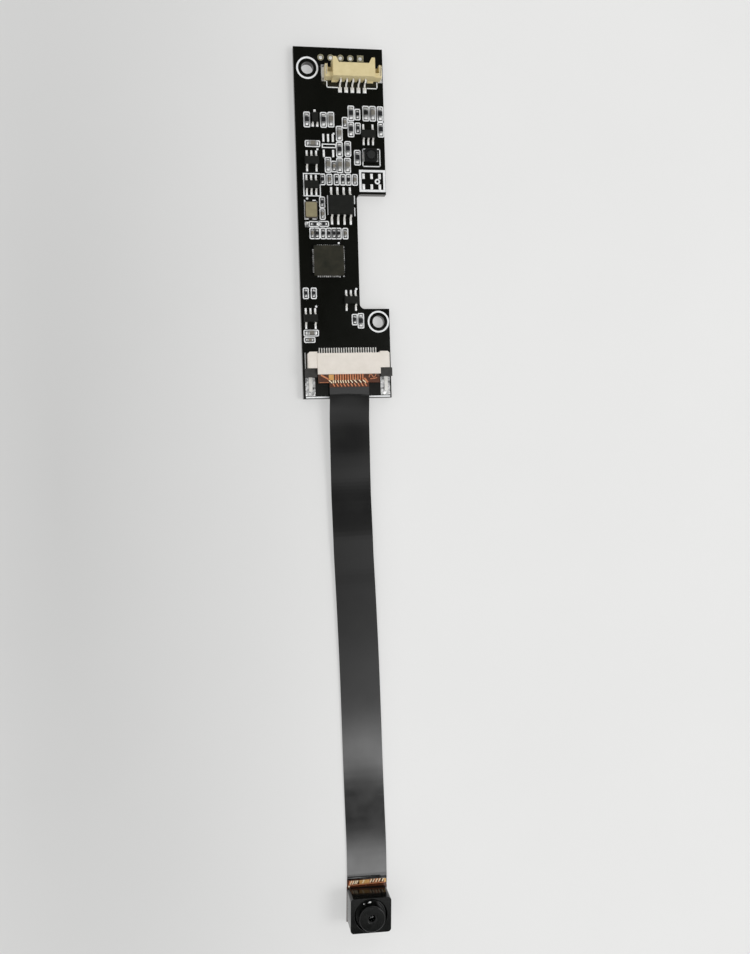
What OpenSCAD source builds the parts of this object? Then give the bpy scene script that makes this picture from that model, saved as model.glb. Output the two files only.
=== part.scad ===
// Camera module: a narrow circuit board, a flat flexible cable and a small camera head at its far end.
// Origin: middle of the board's outline on its underside. +Y runs to the wire header, +Z out of the parts.

/* [Board] */
// Length of the circuit board
board_l = 70; // [70:1:100]
// Width of the circuit board
board_w = 18; // [18:0.5:24]
// Thickness of the circuit board
board_t = 1.6; // [0.8:0.1:2.4]
// How far the notch reaches in from the right edge
notch_w = 6; // [3:0.5:6.5]
// Length of the notch along the right edge
notch_l = 23; // [10:1:23]
// Start of the notch, above the lower edge
notch_start = 18; // [17.5:0.5:20]
// Radius that the cutter leaves in the notch's inner corners
notch_r = 1; // [0.5:0.1:2]

/* [Mounting holes] */
// Diameter of both mounting holes
mount_hole_d = 2.4; // [2.0:0.1:3.0]
// Upper hole, from the left edge
upper_hole_x = 2.75; // [2.5:0.05:3.2]
// Upper hole, down from the upper edge
upper_hole_drop = 4.15; // [3:0.05:6]
// Lower hole, in from the right edge
lower_hole_inset = 2.3; // [2:0.05:2.8]
// Lower hole, up from the lower edge
lower_hole_y = 15.4; // [14.5:0.1:15.8]

/* [Plated holes] */
// Number of plated holes along the upper edge
plated_count = 5; // [2:1:5]
// Pitch of the plated holes
plated_pitch = 2; // [1.6:0.05:2]
// Finished diameter of a plated hole
plated_d = 0.8; // [0.6:0.05:1.0]
// Diameter of the land round a plated hole
plated_land_d = 1.3; // [1.2:0.05:1.5]
// Plated holes, down from the upper edge
plated_drop = 2; // [1.2:0.1:2]
// Last plated hole, in from the right edge
plated_inset = 4.5; // [3:0.1:5]

/* [Wire header] */
// Number of header contacts
header_ways = 5; // [3:1:6]
// Pitch of the header contacts
header_pitch = 1.25; // [1.25:0.05:1.3]
// Height of the header
header_h = 3.4; // [3.2:0.1:4.2]
// Thickness of the header's side walls
header_wall = 0.7; // [0.5:0.05:0.9]
// Thickness of the header's floor
header_floor = 0.7; // [0.5:0.05:0.8]
// Thickness of the header's roof
header_roof = 0.5; // [0.4:0.05:0.8]
// Thickness of the header's back wall
header_back = 1.1; // [0.8:0.05:1.3]
// Depth of the header's roof, from the back face
header_roof_l = 2.6; // [2.2:0.1:2.8]
// Depth of the header's side walls, from the back face
header_side_l = 3.7; // [3.2:0.1:4]
// Height of the header's two wings
wing_h = 2.3; // [2.0:0.1:2.6]
// Width of each wing
wing_w = 1.45; // [1.2:0.05:1.5]

/* [Cable connector] */
// Number of cable contacts
fpc_ways = 24; // [16:1:24]
// Pitch of the cable contacts
fpc_pitch = 0.5; // [0.45:0.01:0.5]
// Height of the cable connector
fpc_h = 2; // [1.9:0.05:2.6]
// Depth of the housing, back face to mouth
fpc_depth = 4.2; // [4.2:0.1:4.6]
// Back face of the housing, above the board's lower edge
fpc_back_y = 9; // [8.6:0.05:9.2]
// Connector's middle, right of the board's middle
fpc_shift = 0.2; // [0:0.05:0.4]
// Width of each housing ear
fpc_ear_w = 1.9; // [1.8:0.05:2.1]
// Travel of the slider
slider_travel = 1.2; // [0.6:0.1:1.2]
// Clearance round the slider
slider_gap = 0.03; // [0.02:0.01:0.04]

/* [Cable] */
// Thickness of the flexible film
film_t = 0.12; // [0.08:0.01:0.14]
// Width of the free film at the connector
strip_w = 8; // [5:0.5:8]
// Width of the free film at the head
strip_head_w = 8.3; // [5:0.1:8.4]
// Thickness of the backing under the contact end
backing_t = 0.18; // [0.12:0.01:0.2]

/* [Camera head] */
// Width of the lens holder
head_w = 8.3; // [8:0.1:10.4]
// Length of the lens holder
head_l = 7.1; // [6.9:0.1:8.6]
// Height of the lens holder
head_h = 5.5; // [4.6:0.1:6.6]
// Diameter of the lens barrel in the holder
barrel_d = 6.4; // [5.8:0.1:6.4]
// Diameter of the barrel's nose
nose_d = 5.3; // [4.6:0.1:5.6]
// Height of the nose above the holder
nose_h = 1.65; // [1:0.05:2]
// Diameter of the opening in front of the lens
aperture_d = 1.2; // [0.8:0.1:1.6]
// Radius of the holder's upright corners
holder_r = 0.7; // [0.4:0.1:1.2]
// Thickness of the plate under the head
plate_t = 0.2; // [0.1:0.05:0.3]
// How far the plate and film stand out on each side of the head
plate_margin = 0.05; // [0:0.05:0.4]

/* [Parts] */
// Length of a large chip
large_chip_l = 1.6; // [1.5:0.05:1.7]
// Width of a large chip
large_chip_w = 0.8; // [0.7:0.05:0.85]
// Length of a small chip
small_chip_l = 1.0; // [0.95:0.05:1.1]
// Width of a small chip
small_chip_w = 0.5; // [0.45:0.05:0.55]
// Side of the square processor
processor_w = 6; // [5.5:0.1:6.2]
// Contacts along each side of the processor
processor_side = 12; // [8:1:12]
// Side of the power inductor
inductor_w = 2.5; // [2.4:0.1:2.8]
// Height of the power inductor
inductor_h = 1.5; // [1.2:0.1:1.8]

/* [Hidden] */
$fn = 48;
overlap = 0.1;           // how far a cut runs past the face that it opens
land_t = 0.04;           // solder lands stand this high on the board
sheet_t = 0.15;          // sheet of the small leads and nails
fit = 0.02;              // clearance of a piece pressed or set into a moulding

// Places of the parts. An upper place is [x from the left edge, y down from the upper edge], a lower
// place is [x, y] from the lower left corner, and a third value turns the part.
capacitor_large_upper = [[7.2, 14.25, 90], [15.7, 12.85, 90], [8.8, 17, 90], [6.35, 23.25, 90],
    [8.7, 23.3, 90], [10.3, 23.3, 90], [3.35, 19.1, 0]];
capacitor_large_lower = [[1.95, 13.2, 0]];
resistor_large_upper = [[2.35, 14.35, 90], [5.7, 14.35, 90], [11.3, 12.9, 90], [11.2, 16.1, 90],
    [17.25, 12.9, 90], [17.3, 16, 90], [8.75, 20.15, 90], [10.45, 20, 90], [12.35, 21.7, 90]];
resistor_large_lower = [[12.1, 15.6, 90]];
diode_upper = [[14.3, 12.85, 90]];
capacitor_small_upper = [[10, 14.8, 90], [7.55, 23.55, 90], [6.55, 26.15, 90], [11.7, 26.15, 90],
    [4.95, 33.05, 90], [2.8, 36.9, 90], [9.45, 36.9, 90]];
capacitor_small_lower = [[1.6, 11.85, 0]];
resistor_small_upper = [[12.6, 13.1, 90], [12.6, 15.85, 90], [5.15, 26.15, 90], [8, 26.15, 90],
    [9.25, 26.15, 90], [10.4, 26.15, 90], [4.95, 30.7, 90], [3.25, 35.05, 0], [5.05, 35, 0],
    [3.75, 36.9, 90], [4.95, 36.9, 90], [6.1, 36.9, 90], [7.15, 36.9, 90], [8.1, 36.9, 90]];
resistor_small_lower = [[1.1, 21.15, 90], [2.7, 21.15, 90], [10.85, 15.85, 90]];
regulator_upper = [[14.65, 17.1, 180], [3.05, 22.55, 0]];
regulator_lower = [[1.9, 16.1, 0], [10.2, 19.7, 0]];
interface_chip_upper = [[2.85, 27.35, 0]];
memory_upper = [[8.7, 31.4, 0]];
transistor_upper = [[3.95, 14.05, 0]];
crystal_upper = [[2.65, 32.3, 0]];
inductor_upper = [[14.95, 21.45, 0]];
processor_lower = [[5.9, 27.6, 0]];

// Middle line of the free film: x from the board's middle, y from its lower edge, z from the surface.
strip_points = [[0.2, 2.2, 2.6], [0.2, 0.5, 2.6], [0.16, -1.5, 2.37], [0.11, -3.5, 2.15],
    [0.1, -5.5, 1.98], [0.11, -8, 1.83], [0.12, -11, 1.68], [0.12, -14, 1.49], [0.14, -17, 1.27],
    [0.15, -20, 1.15], [0.22, -24, 1.1], [0.29, -28, 1.04], [0.35, -31.5, 0.9], [0.45, -35, 0.77],
    [0.56, -39, 0.72], [0.71, -45, 0.6], [0.91, -55, 0.46], [1.02, -66, 0.34], [1.08, -75, 0.25],
    [1.18, -84, 0.2], [1.28, -92, 0.22], [1.22, -98.17, 0.26], [1.18, -99.32, 0.26]];
strip_steps = 2;         // rings in each stretch between two points

// Camera head: its middle, measured like the film's points, and its turn
head_x = 1;
head_y = -104.42;
head_turn = -2;

// ---------------------------------------------------------------- placing

module on_board() translate([-board_w / 2, -board_l / 2, board_t]) children();

module at_lower(places)
    for (p = places)
        on_board() translate([p[0], p[1], 0]) rotate(p[2]) children();

module at_upper(places)
    for (p = places)
        on_board() translate([p[0], board_l - p[1], 0]) rotate(p[2]) children();

module at_fpc() on_board() translate([board_w / 2 + fpc_shift, fpc_back_y, 0]) children();

module at_header() on_board() translate([board_w - header_inset, board_l - header_drop, 0]) children();

module at_head() translate([head_x, head_y - board_l / 2, 0]) rotate(head_turn) children();

// ---------------------------------------------------------------- shapes

function unit(v) = v / norm(v);
function turn_left(v) = [-v[1], v[0]];

// Point i of a path, moved sideways by half a sheet's thickness
function side_point(path, i, shift) =
    let (before = unit(path[max(i, 1)] - path[max(i, 1) - 1]),
         after = unit(path[min(i + 1, len(path) - 1)] - path[min(i + 1, len(path) - 1) - 1]),
         out = unit(turn_left(before) + turn_left(after)))
    path[i] + out * shift / (out * turn_left(before));

// Outline of a bent sheet of thickness t round a path
function sheet_outline(path, t) = concat(
    [for (i = [0 : len(path) - 1]) side_point(path, i, t / 2)],
    [for (i = [len(path) - 1 : -1 : 0]) side_point(path, i, -t / 2)]);

// A flat outline in Y and Z, given a width along X
module side_profile(width) rotate([90, 0, 90]) linear_extrude(width, center = true) children();

// A flat outline in X and Z, given a length along Y
module front_profile(length) rotate([90, 0, 0]) linear_extrude(length, center = true) children();

module bent_sheet(path, t, width) side_profile(width) polygon(sheet_outline(path, t));

// A box that is centred in X and Y and stands on z
module block(size, z = 0) translate([0, 0, z + size[2] / 2]) cube(size, center = true);

// A box between two corners
module box(from, to) translate(from) cube(to - from);

module rounded_rect(size, r) {
    square([size[0] - 2 * r, size[1]], center = true);
    square([size[0], size[1] - 2 * r], center = true);
    for (x = [-1, 1], y = [-1, 1])
        translate([x * (size[0] / 2 - r), y * (size[1] / 2 - r)]) circle(r);
}

module rounded_block(size, r, z = 0)
    translate([0, 0, z]) linear_extrude(size[2]) rounded_rect(size, r);

module mirrored_x() {
    children();
    mirror([1, 0, 0]) children();
}

module mirrored_y() {
    children();
    mirror([0, 1, 0]) children();
}

// Flanks of a moulded package lean in above and below the parting line
function drafted_outline(w, h, draft) = [[-w / 2 + draft, 0], [-w / 2, h / 2], [-w / 2 + draft, h],
    [w / 2 - draft, h], [w / 2, h / 2], [w / 2 - draft, 0]];

module moulded_package(size, draft, z) translate([0, 0, z]) intersection() {
    front_profile(size[1]) polygon(drafted_outline(size[0], size[2], draft));
    side_profile(size[0]) polygon(drafted_outline(size[1], size[2], draft));
}

// ---------------------------------------------------------------- board

plating_t = 0.05;

module plated_places()
    for (i = [0 : plated_count - 1])
        on_board()
            translate([board_w - plated_inset - i * plated_pitch, board_l - plated_drop, 0])
                children();

module mount_places() {
    on_board() translate([upper_hole_x, board_l - upper_hole_drop, 0]) children();
    on_board() translate([board_w - lower_hole_inset, lower_hole_y, 0]) children();
}

module notch() on_board()
    translate([board_w + overlap, notch_start + notch_l / 2, -board_t - overlap])
        linear_extrude(board_t + 2 * overlap)
            rounded_rect([2 * (notch_w + overlap), notch_l], notch_r);

module circuit_board() color("#14161a") difference() {
    block([board_w, board_l, board_t]);
    notch();
    mount_places() translate([0, 0, -board_t - overlap])
        cylinder(d = mount_hole_d, h = board_t + 2 * overlap);
    plated_places() translate([0, 0, -board_t - overlap])
        cylinder(d = plated_d + 2 * plating_t, h = board_t + 2 * overlap);
}

// The hole nearest the right edge has a square land
module plated_holes() color("#b8ab86") difference() {
    union() {
        plated_places() {
            cylinder(d = plated_land_d, h = land_t);
            translate([0, 0, -board_t]) cylinder(d = plated_d + 2 * plating_t, h = board_t + land_t);
        }
        on_board() translate([board_w - plated_inset, board_l - plated_drop, 0])
            block([plated_land_d, plated_land_d, land_t]);
    }
    plated_places() translate([0, 0, -board_t - overlap])
        cylinder(d = plated_d, h = board_t + land_t + 2 * overlap);
}

// ---------------------------------------------------------------- lands

module land(w, l) block([w, l, land_t]);

module chip_lands(chip_l, chip_w) for (s = [-1, 1])
    translate([s * chip_l * 0.5, 0, 0]) land(chip_l * 0.45, chip_w * 0.95);

module lead_lands(columns, y, w, l) for (x = columns) translate([x, y, 0]) land(w, l);

module sot_lands(upper, lower) {
    lead_lands(upper, sot_land_y, sot_land_w, 1.1);
    lead_lands(lower, -sot_land_y, sot_land_w, 1.1);
}

module solder_lands() color("#d8dadb") {
    at_upper(capacitor_large_upper) chip_lands(large_chip_l, large_chip_w);
    at_upper(resistor_large_upper) chip_lands(large_chip_l, large_chip_w);
    at_upper(diode_upper) chip_lands(large_chip_l, large_chip_w);
    at_lower(capacitor_large_lower) chip_lands(large_chip_l, large_chip_w);
    at_lower(resistor_large_lower) chip_lands(large_chip_l, large_chip_w);
    at_upper(capacitor_small_upper) chip_lands(small_chip_l, small_chip_w);
    at_upper(resistor_small_upper) chip_lands(small_chip_l, small_chip_w);
    at_lower(capacitor_small_lower) chip_lands(small_chip_l, small_chip_w);
    at_lower(resistor_small_lower) chip_lands(small_chip_l, small_chip_w);
    at_upper(regulator_upper) sot_lands(three_leads, two_leads);
    at_lower(regulator_lower) sot_lands(three_leads, two_leads);
    at_upper(interface_chip_upper) sot_lands(three_leads, three_leads);
    at_upper(memory_upper) mirrored_y() lead_lands(memory_columns, memory_land_y, memory_land_w, 1.2);
    at_upper(transistor_upper) {
        lead_lands(transistor_low_leads, -transistor_land_y, 0.5, 0.7);
        lead_lands([0], transistor_land_y, 0.5, 0.7);
    }
    at_upper(crystal_upper) crystal_corners() land(0.8, 0.95);
    at_upper(inductor_upper) mirrored_x() translate([inductor_w / 2, 0, 0]) land(0.8, inductor_w * 0.8);
    at_lower(processor_lower) {
        processor_ring(processor_w / 2 - 0.05) land(processor_lead_w, 0.6);
        land(processor_w * 0.6, processor_w * 0.6);
    }
    at_header() {
        for (x = header_columns) translate([x, -1.6, 0]) land(0.75, 1.1);
        mirrored_x() translate([header_w / 2 + wing_w + 0.1, 1.65, 0]) land(0.9, 3.3);
    }
    at_fpc() {
        for (x = fpc_columns) translate([x, 0.72, 0]) land(0.26, 1);
        for (x = [-fpc_land_x, fpc_land_x - 0.2]) translate([x, fpc_land_y, 0]) land(1.95, 3.7);
    }
    // Places that are left without a part
    at_upper(spare_chip_upper) {
        lead_lands(two_leads, sot_land_y, 0.42, 1.5);
        lead_lands(three_leads, -sot_land_y, 0.42, 1.6);
    }
    at_upper(spare_oscillator_upper) for (x = [-1.65, 0, 1.65], y = [-1.05, 1.05])
        translate([x, y, 0]) land(0.55, 1.1);
    at_upper([[1.75, 35.15, 0]]) land(0.8, 1.1);
}

spare_chip_upper = [[6.5, 19.45, 180]];
spare_oscillator_upper = [[15.1, 26.45, 0]];

// ---------------------------------------------------------------- wire header

header_inset = 6.3;      // header's middle, in from the right edge
header_drop = 6.7;       // header's back face, down from the upper edge
header_ends = 3.4;       // how much wider the housing is than its row of contacts
header_w = (header_ways - 1) * header_pitch + header_ends;
header_columns = [for (i = [0 : header_ways - 1]) (i - (header_ways - 1) / 2) * header_pitch];
pin_w = 0.32;
pin_t = 0.22;
pin_z = (header_floor + header_h - header_roof) / 2;
nail_x = header_w / 2 + wing_w - 0.25;
wing_back = 0.2;         // wings start this far in front of the back face
wing_l = 2.5;
header_foot = [1.2, 0.18, 0.6];            // a low foot behind each end of the housing

module header_cavity() translate([0, header_back, header_floor])
    box([-header_w / 2 + header_wall, 0, 0],
        [header_w / 2 - header_wall, header_side_l, header_h - header_roof - header_floor]);

// The roof is cut back between the tips of the side walls
module header_roof_cut() translate([0, 0, header_h - header_roof - overlap])
    linear_extrude(header_roof + 2 * overlap)
        polygon([[-header_w / 2 + header_wall + 0.5, header_roof_l],
            [header_w / 2 - header_wall - 0.5, header_roof_l],
            [header_w / 2 - header_wall + overlap, header_side_l + overlap],
            [-header_w / 2 + header_wall - overlap, header_side_l + overlap]]);

// Each contact leaves the back wall through a slot with a round top
module header_back_slots() for (x = header_columns) translate([x, 0, 0]) {
    box([-0.28, -overlap, -overlap], [0.28, 0.35, pin_z]);
    translate([0, -overlap, pin_z]) rotate([-90, 0, 0]) cylinder(r = 0.28, h = 0.35 + overlap);
    box([-pin_w / 2 - fit, 0, pin_z - pin_t / 2 - fit],
        [pin_w / 2 + fit, header_back + overlap, pin_z + pin_t / 2 + fit]);
}

// A wing is a pocket for the nail, open in front and above
module header_wing() difference() {
    box([header_w / 2 - overlap, wing_back, land_t],
        [header_w / 2 + wing_w, wing_back + wing_l, wing_h]);
    box([header_w / 2, wing_back + 0.9, 0.45],
        [header_w / 2 + wing_w - 0.5, wing_back + wing_l + overlap, wing_h + overlap]);
    box([nail_x - sheet_t / 2 - fit, wing_back + 0.4, -overlap],
        [nail_x + sheet_t / 2 + fit, wing_back + wing_l + overlap, wing_h + overlap]);
    box([nail_x, wing_back + 0.4, -overlap],
        [header_w / 2 + wing_w + overlap, wing_back + wing_l + overlap, land_t + sheet_t + fit]);
}

module header_housing() color("#e6dfc2") at_header() {
    difference() {
        box([-header_w / 2, 0, land_t], [header_w / 2, header_side_l, header_h]);
        header_cavity();
        header_roof_cut();
        header_back_slots();
    }
    mirrored_x() {
        header_wing();
        box([header_w / 2 - header_foot[0], -header_foot[1], land_t],
            [header_w / 2, overlap, header_foot[2]]);
    }
}

header_pin_path = [[-1.65, land_t + pin_t / 2], [-0.75, land_t + pin_t / 2], [-0.5, 0.45],
    [-0.5, pin_z - 0.25], [-0.25, pin_z], [2.9, pin_z]];

module header_contacts() color("#d9d5c6") at_header()
    for (x = header_columns)
        translate([x, 0, 0]) bent_sheet(header_pin_path, pin_t, pin_w);

// Upright blade in the wing's slot, and a foot that turns out onto its land
module header_nails() color("#dfe0df") at_header() mirrored_x()
    translate([0, wing_back + 0.5 + wing_l / 2 - 0.25, 0]) front_profile(wing_l - 0.5)
        polygon(sheet_outline([[nail_x, wing_h - 0.15], [nail_x, land_t + sheet_t / 2],
            [header_w / 2 + wing_w + 0.45, land_t + sheet_t / 2]], sheet_t));

// ---------------------------------------------------------------- cable connector

// Everything here is measured from the middle of the housing's back face, where it meets the board.
fpc_row = (fpc_ways - 1) * fpc_pitch;
fpc_columns = [for (i = [0 : fpc_ways - 1]) i * fpc_pitch - fpc_row / 2];
fpc_w = fpc_row + 1.2;                     // width of the housing at its mouth
tab_w = fpc_row + 1.0;                     // width of the cable's contact end
fpc_full_w = tab_w + 2 * (0.1 + fpc_ear_w);
ear_front = -2.95;
slot_end = -1.0;                           // the cable slot stops here
blade_t = 0.2;                             // thickness of a contact
floor_z = 0.5;                             // top of the housing's floor plate
tongue_z = floor_z + slider_gap;
tongue_t = 0.2;
backing_z = tongue_z + tongue_t + slider_gap;
tab_z = backing_z + backing_t;             // underside of the film's contact end
tab_top = tab_z + film_t;
roof_z = tab_top + 0.05;                   // underside of the housing's roof
channel_top = fpc_h - 0.35;
fpc_land_x = 7.75 + (fpc_row - 11.5) / 2;
fpc_land_y = -6.6;

// The contact is a fork: its upper arm presses on the film, its lower arm lies in the floor
contact_outline = [[-0.35, channel_top - 0.05], [-3.65, channel_top - 0.1], [-3.65, tab_top],
    [-3.35, tab_top], [-3.15, tab_top + 0.2], [-0.9, tab_top + 0.25], [-0.9, floor_z - 0.1],
    [-3.2, floor_z - 0.1], [-3.2, 0.2], [-0.3, 0.15], [0.1, 0.15], [0.3, land_t], [1.15, land_t],
    [1.15, land_t + sheet_t], [0.42, land_t + sheet_t], [0.2, floor_z - 0.1], [-0.35, floor_z - 0.1]];

// The channel that the fork lies in, open at the back
channel_outline = [[overlap, 0.1], [overlap, channel_top], [-3.9, channel_top], [-3.9, roof_z - overlap],
    [slot_end - overlap, roof_z - overlap], [slot_end - overlap, floor_z + overlap],
    [-3.5, floor_z + overlap], [-3.5, 0.1]];

// A slider arm runs in each ear
arm_in = tab_w / 2 + 0.35;
arm_w = 0.6;
arm_z = 0.42;
arm_top = 1.1;

module fpc_ear() difference() {
    translate([0, 0, 0]) linear_extrude(fpc_h - 0.1) difference() {
        translate([tab_w / 2 + 0.1, ear_front]) square([fpc_ear_w, 0.3 - ear_front]);
        translate([fpc_full_w / 2, 0.3]) rotate(45) square(0.5, center = true);
    }
    box([arm_in - slider_gap, ear_front - overlap, arm_z - slider_gap],
        [arm_in + arm_w + slider_gap, slot_end - overlap, arm_top + slider_gap]);
    fpc_nail_cut();
}

module fpc_housing() color("#ebe8df") at_fpc() {
    difference() {
        union() {
            box([-fpc_w / 2, -fpc_depth, roof_z], [fpc_w / 2, 0, fpc_h]);
            box([-fpc_w / 2, -fpc_depth, 0], [fpc_w / 2, 0, floor_z]);
            box([-tab_w / 2 - 0.15, slot_end, 0], [tab_w / 2 + 0.15, 0, fpc_h]);
        }
        for (x = fpc_columns) translate([x, 0, 0])
            side_profile(blade_t + 2 * fit) polygon(channel_outline);
    }
    mirrored_x() fpc_ear();
}

module fpc_contacts() color("#d9d2bd") at_fpc()
    for (x = fpc_columns) translate([x, 0, 0]) side_profile(blade_t) polygon(contact_outline);

// A tongue under the film, a front bar, and at each end an ear with an arm that runs in the housing
module fpc_slider() color("#26262a") at_fpc() {
    box([-tab_w / 2 + 0.05, -fpc_depth - 0.1, tongue_z],
        [tab_w / 2 - 0.05, slot_end - 0.25, tongue_z + tongue_t]);
    box([-slider_w / 2 + 0.2, slider_front, arm_z],
        [slider_w / 2 - 0.2, -fpc_depth - slider_gap, tongue_z + tongue_t]);
    mirrored_x() {
        box([fpc_w / 2 + 0.1, slider_front, 0.3], [slider_w / 2, ear_front - slider_gap, 1.25]);
        box([arm_in, ear_front - 0.3, arm_z], [arm_in + arm_w, slot_end - 0.25, arm_top]);
    }
}

slider_w = fpc_row + 6.2;
slider_front = -fpc_depth - 0.5;

// The nail's blade stands in the ear, and its foot runs forward under the slider to its land
nail_blade_y = -1.9;
nail_foot_x = arm_in + arm_w + 0.15;
nail_foot_w = 0.7;
fpc_nail_path = [[fpc_land_y - 0.9, land_t + sheet_t / 2], [nail_blade_y, land_t + sheet_t / 2],
    [nail_blade_y, 1.3]];

module fpc_nail_cut() translate([nail_foot_x + nail_foot_w / 2, 0, 0])
    side_profile(nail_foot_w + 2 * fit)
        polygon([[ear_front - overlap, -overlap], [ear_front - overlap, land_t + sheet_t + fit],
            [nail_blade_y - sheet_t / 2 - fit, land_t + sheet_t + fit],
            [nail_blade_y - sheet_t / 2 - fit, 1.3 + fit], [nail_blade_y + sheet_t / 2 + fit, 1.3 + fit],
            [nail_blade_y + sheet_t / 2 + fit, -overlap]]);

module fpc_nails() color("#d5d6d6") at_fpc() mirrored_x()
    translate([nail_foot_x + nail_foot_w / 2, 0, 0])
        bent_sheet(fpc_nail_path, sheet_t, nail_foot_w);

// ---------------------------------------------------------------- chips

chip_end = 0.3;          // share of a chip's length under each metal end, over two

module chip(l, w, h) {
    block([l - 0.1, w - 0.04, h - 0.04], land_t + 0.02);
    for (s = [-1, 1]) translate([s * (l / 2 - l * chip_end / 2), 0, 0])
        block([l * chip_end, w, h], land_t);
}

module capacitors_large() color("#8f8a7c") {
    at_upper(capacitor_large_upper) chip(large_chip_l, large_chip_w, 0.8);
    at_lower(capacitor_large_lower) chip(large_chip_l, large_chip_w, 0.8);
}

module resistors_large() color("#1e1f22") {
    at_upper(resistor_large_upper) chip(large_chip_l, large_chip_w, 0.45);
    at_lower(resistor_large_lower) chip(large_chip_l, large_chip_w, 0.45);
}

module capacitors_small() color("#9a9282") {
    at_upper(capacitor_small_upper) chip(small_chip_l, small_chip_w, 0.5);
    at_lower(capacitor_small_lower) chip(small_chip_l, small_chip_w, 0.5);
}

module resistors_small() color("#1e1f22") {
    at_upper(resistor_small_upper) chip(small_chip_l, small_chip_w, 0.35);
    at_lower(resistor_small_lower) chip(small_chip_l, small_chip_w, 0.35);
}

module diode() color("#222326") at_upper(diode_upper) chip(large_chip_l, large_chip_w, 0.7);

// A gull-wing lead that leaves the package at height z and steps down to its land
function gull_path(body, reach, z, t) = [[body - 0.25, z], [body + 0.15, z],
    [body + 0.32, land_t + t / 2], [reach, land_t + t / 2]];

// ---- eight-lead package

memory_size = [4.9, 3.9, 1.45];
memory_columns = [-1.905, -0.635, 0.635, 1.905];
memory_reach = 3.0;
memory_land_y = 3.15;
memory_land_w = 0.46;
memory_lead_t = 0.2;
standoff = 0.12;         // gap between a leaded package and the board

module memory_lead(t_extra = 0, w_extra = 0)
    bent_sheet(gull_path(memory_size[1] / 2, memory_reach, standoff + memory_size[2] / 2, memory_lead_t),
        memory_lead_t + t_extra, 0.38 + w_extra);

module memory_body() color("#202125") at_upper(memory_upper) difference() {
    moulded_package(memory_size, 0.12, standoff);
    mirrored_y() for (x = memory_columns) translate([x, 0, 0]) memory_lead(2 * fit, 2 * fit);
}

module memory_leads() color("#d2d4d4") at_upper(memory_upper)
    mirrored_y() for (x = memory_columns) translate([x, 0, 0]) memory_lead();

// ---- small five- and six-lead packages

sot_size = [2.9, 1.6, 1.0];
sot_reach = 1.4;
sot_land_y = 1.55;
sot_land_w = 0.4;
sot_lead_t = 0.15;
three_leads = [-0.95, 0, 0.95];
two_leads = [-0.95, 0.95];
sot_standoff = 0.1;

module sot_lead(t_extra = 0, w_extra = 0)
    bent_sheet(gull_path(sot_size[1] / 2, sot_reach, sot_standoff + sot_size[2] / 2, sot_lead_t),
        sot_lead_t + t_extra, 0.34 + w_extra);

module sot_leads(upper, lower, t_extra = 0, w_extra = 0) {
    for (x = upper) translate([x, 0, 0]) sot_lead(t_extra, w_extra);
    mirror([0, 1, 0]) for (x = lower) translate([x, 0, 0]) sot_lead(t_extra, w_extra);
}

module sot_body(upper, lower) difference() {
    moulded_package(sot_size, 0.1, sot_standoff);
    sot_leads(upper, lower, 2 * fit, 2 * fit);
}

module interface_chip_body() color("#232428")
    at_upper(interface_chip_upper) sot_body(three_leads, three_leads);

module interface_chip_leads() color("#d2d4d4")
    at_upper(interface_chip_upper) sot_leads(three_leads, three_leads);

module regulator_bodies() color("#232428") {
    at_upper(regulator_upper) sot_body(three_leads, two_leads);
    at_lower(regulator_lower) sot_body(three_leads, two_leads);
}

module regulator_leads() color("#d2d4d4") {
    at_upper(regulator_upper) sot_leads(three_leads, two_leads);
    at_lower(regulator_lower) sot_leads(three_leads, two_leads);
}

// ---- three-lead package

transistor_size = [1.25, 1.9, 0.9];
transistor_low_leads = [-0.45, 0.45];
transistor_land_y = 1.35;
transistor_reach = 1.4;

module transistor_lead(t_extra = 0, w_extra = 0)
    bent_sheet(gull_path(transistor_size[1] / 2, transistor_reach,
        sot_standoff + transistor_size[2] / 2, sot_lead_t), sot_lead_t + t_extra, 0.3 + w_extra);

module transistor_lead_set(t_extra = 0, w_extra = 0) {
    transistor_lead(t_extra, w_extra);
    mirror([0, 1, 0]) for (x = transistor_low_leads)
        translate([x, 0, 0]) transistor_lead(t_extra, w_extra);
}

module transistor_body() color("#232428") at_upper(transistor_upper) difference() {
    moulded_package(transistor_size, 0.08, sot_standoff);
    transistor_lead_set(2 * fit, 2 * fit);
}

module transistor_leads() color("#d2d4d4") at_upper(transistor_upper) transistor_lead_set();

// ---- square processor with leads flush in its lower edges

processor_h = 0.85;
processor_pitch = 0.4;
processor_lead_w = 0.2;
processor_lead_l = 0.4;

module processor_ring(distance)
    for (turn = [0 : 90 : 270], i = [0 : processor_side - 1])
        rotate(turn)
            translate([(i - (processor_side - 1) / 2) * processor_pitch, distance, 0]) children();

module processor_leads() color("#c9b98f") at_lower(processor_lower)
    processor_ring(processor_w / 2 - processor_lead_l / 2)
        block([processor_lead_w, processor_lead_l, 0.2], land_t);

module processor_body() color("#55564c") at_lower(processor_lower) difference() {
    block([processor_w, processor_w, processor_h], land_t);
    processor_ring(processor_w / 2 - processor_lead_l / 2)
        translate([0, overlap / 2, 0])
            block([processor_lead_w, processor_lead_l + overlap, 0.2 + overlap], land_t - overlap);
}

// ---- oscillator crystal

crystal_size = [2.5, 3.2];
crystal_base_h = 0.5;
crystal_lid_h = 0.2;

module crystal_corners() for (x = [-1, 1], y = [-1, 1])
    translate([x * (crystal_size[0] / 2 - 0.35), y * (crystal_size[1] / 2 - 0.35), 0]) children();

// A corner of the ceramic case is cut away as a quarter round
module crystal_base() color("#4a4038") at_upper(crystal_upper) difference() {
    block([crystal_size[0], crystal_size[1], crystal_base_h], land_t);
    for (x = [-1, 1], y = [-1, 1])
        translate([x * crystal_size[0] / 2, y * crystal_size[1] / 2, 0])
            cylinder(r = 0.2, h = crystal_base_h + overlap + land_t);
}

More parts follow.
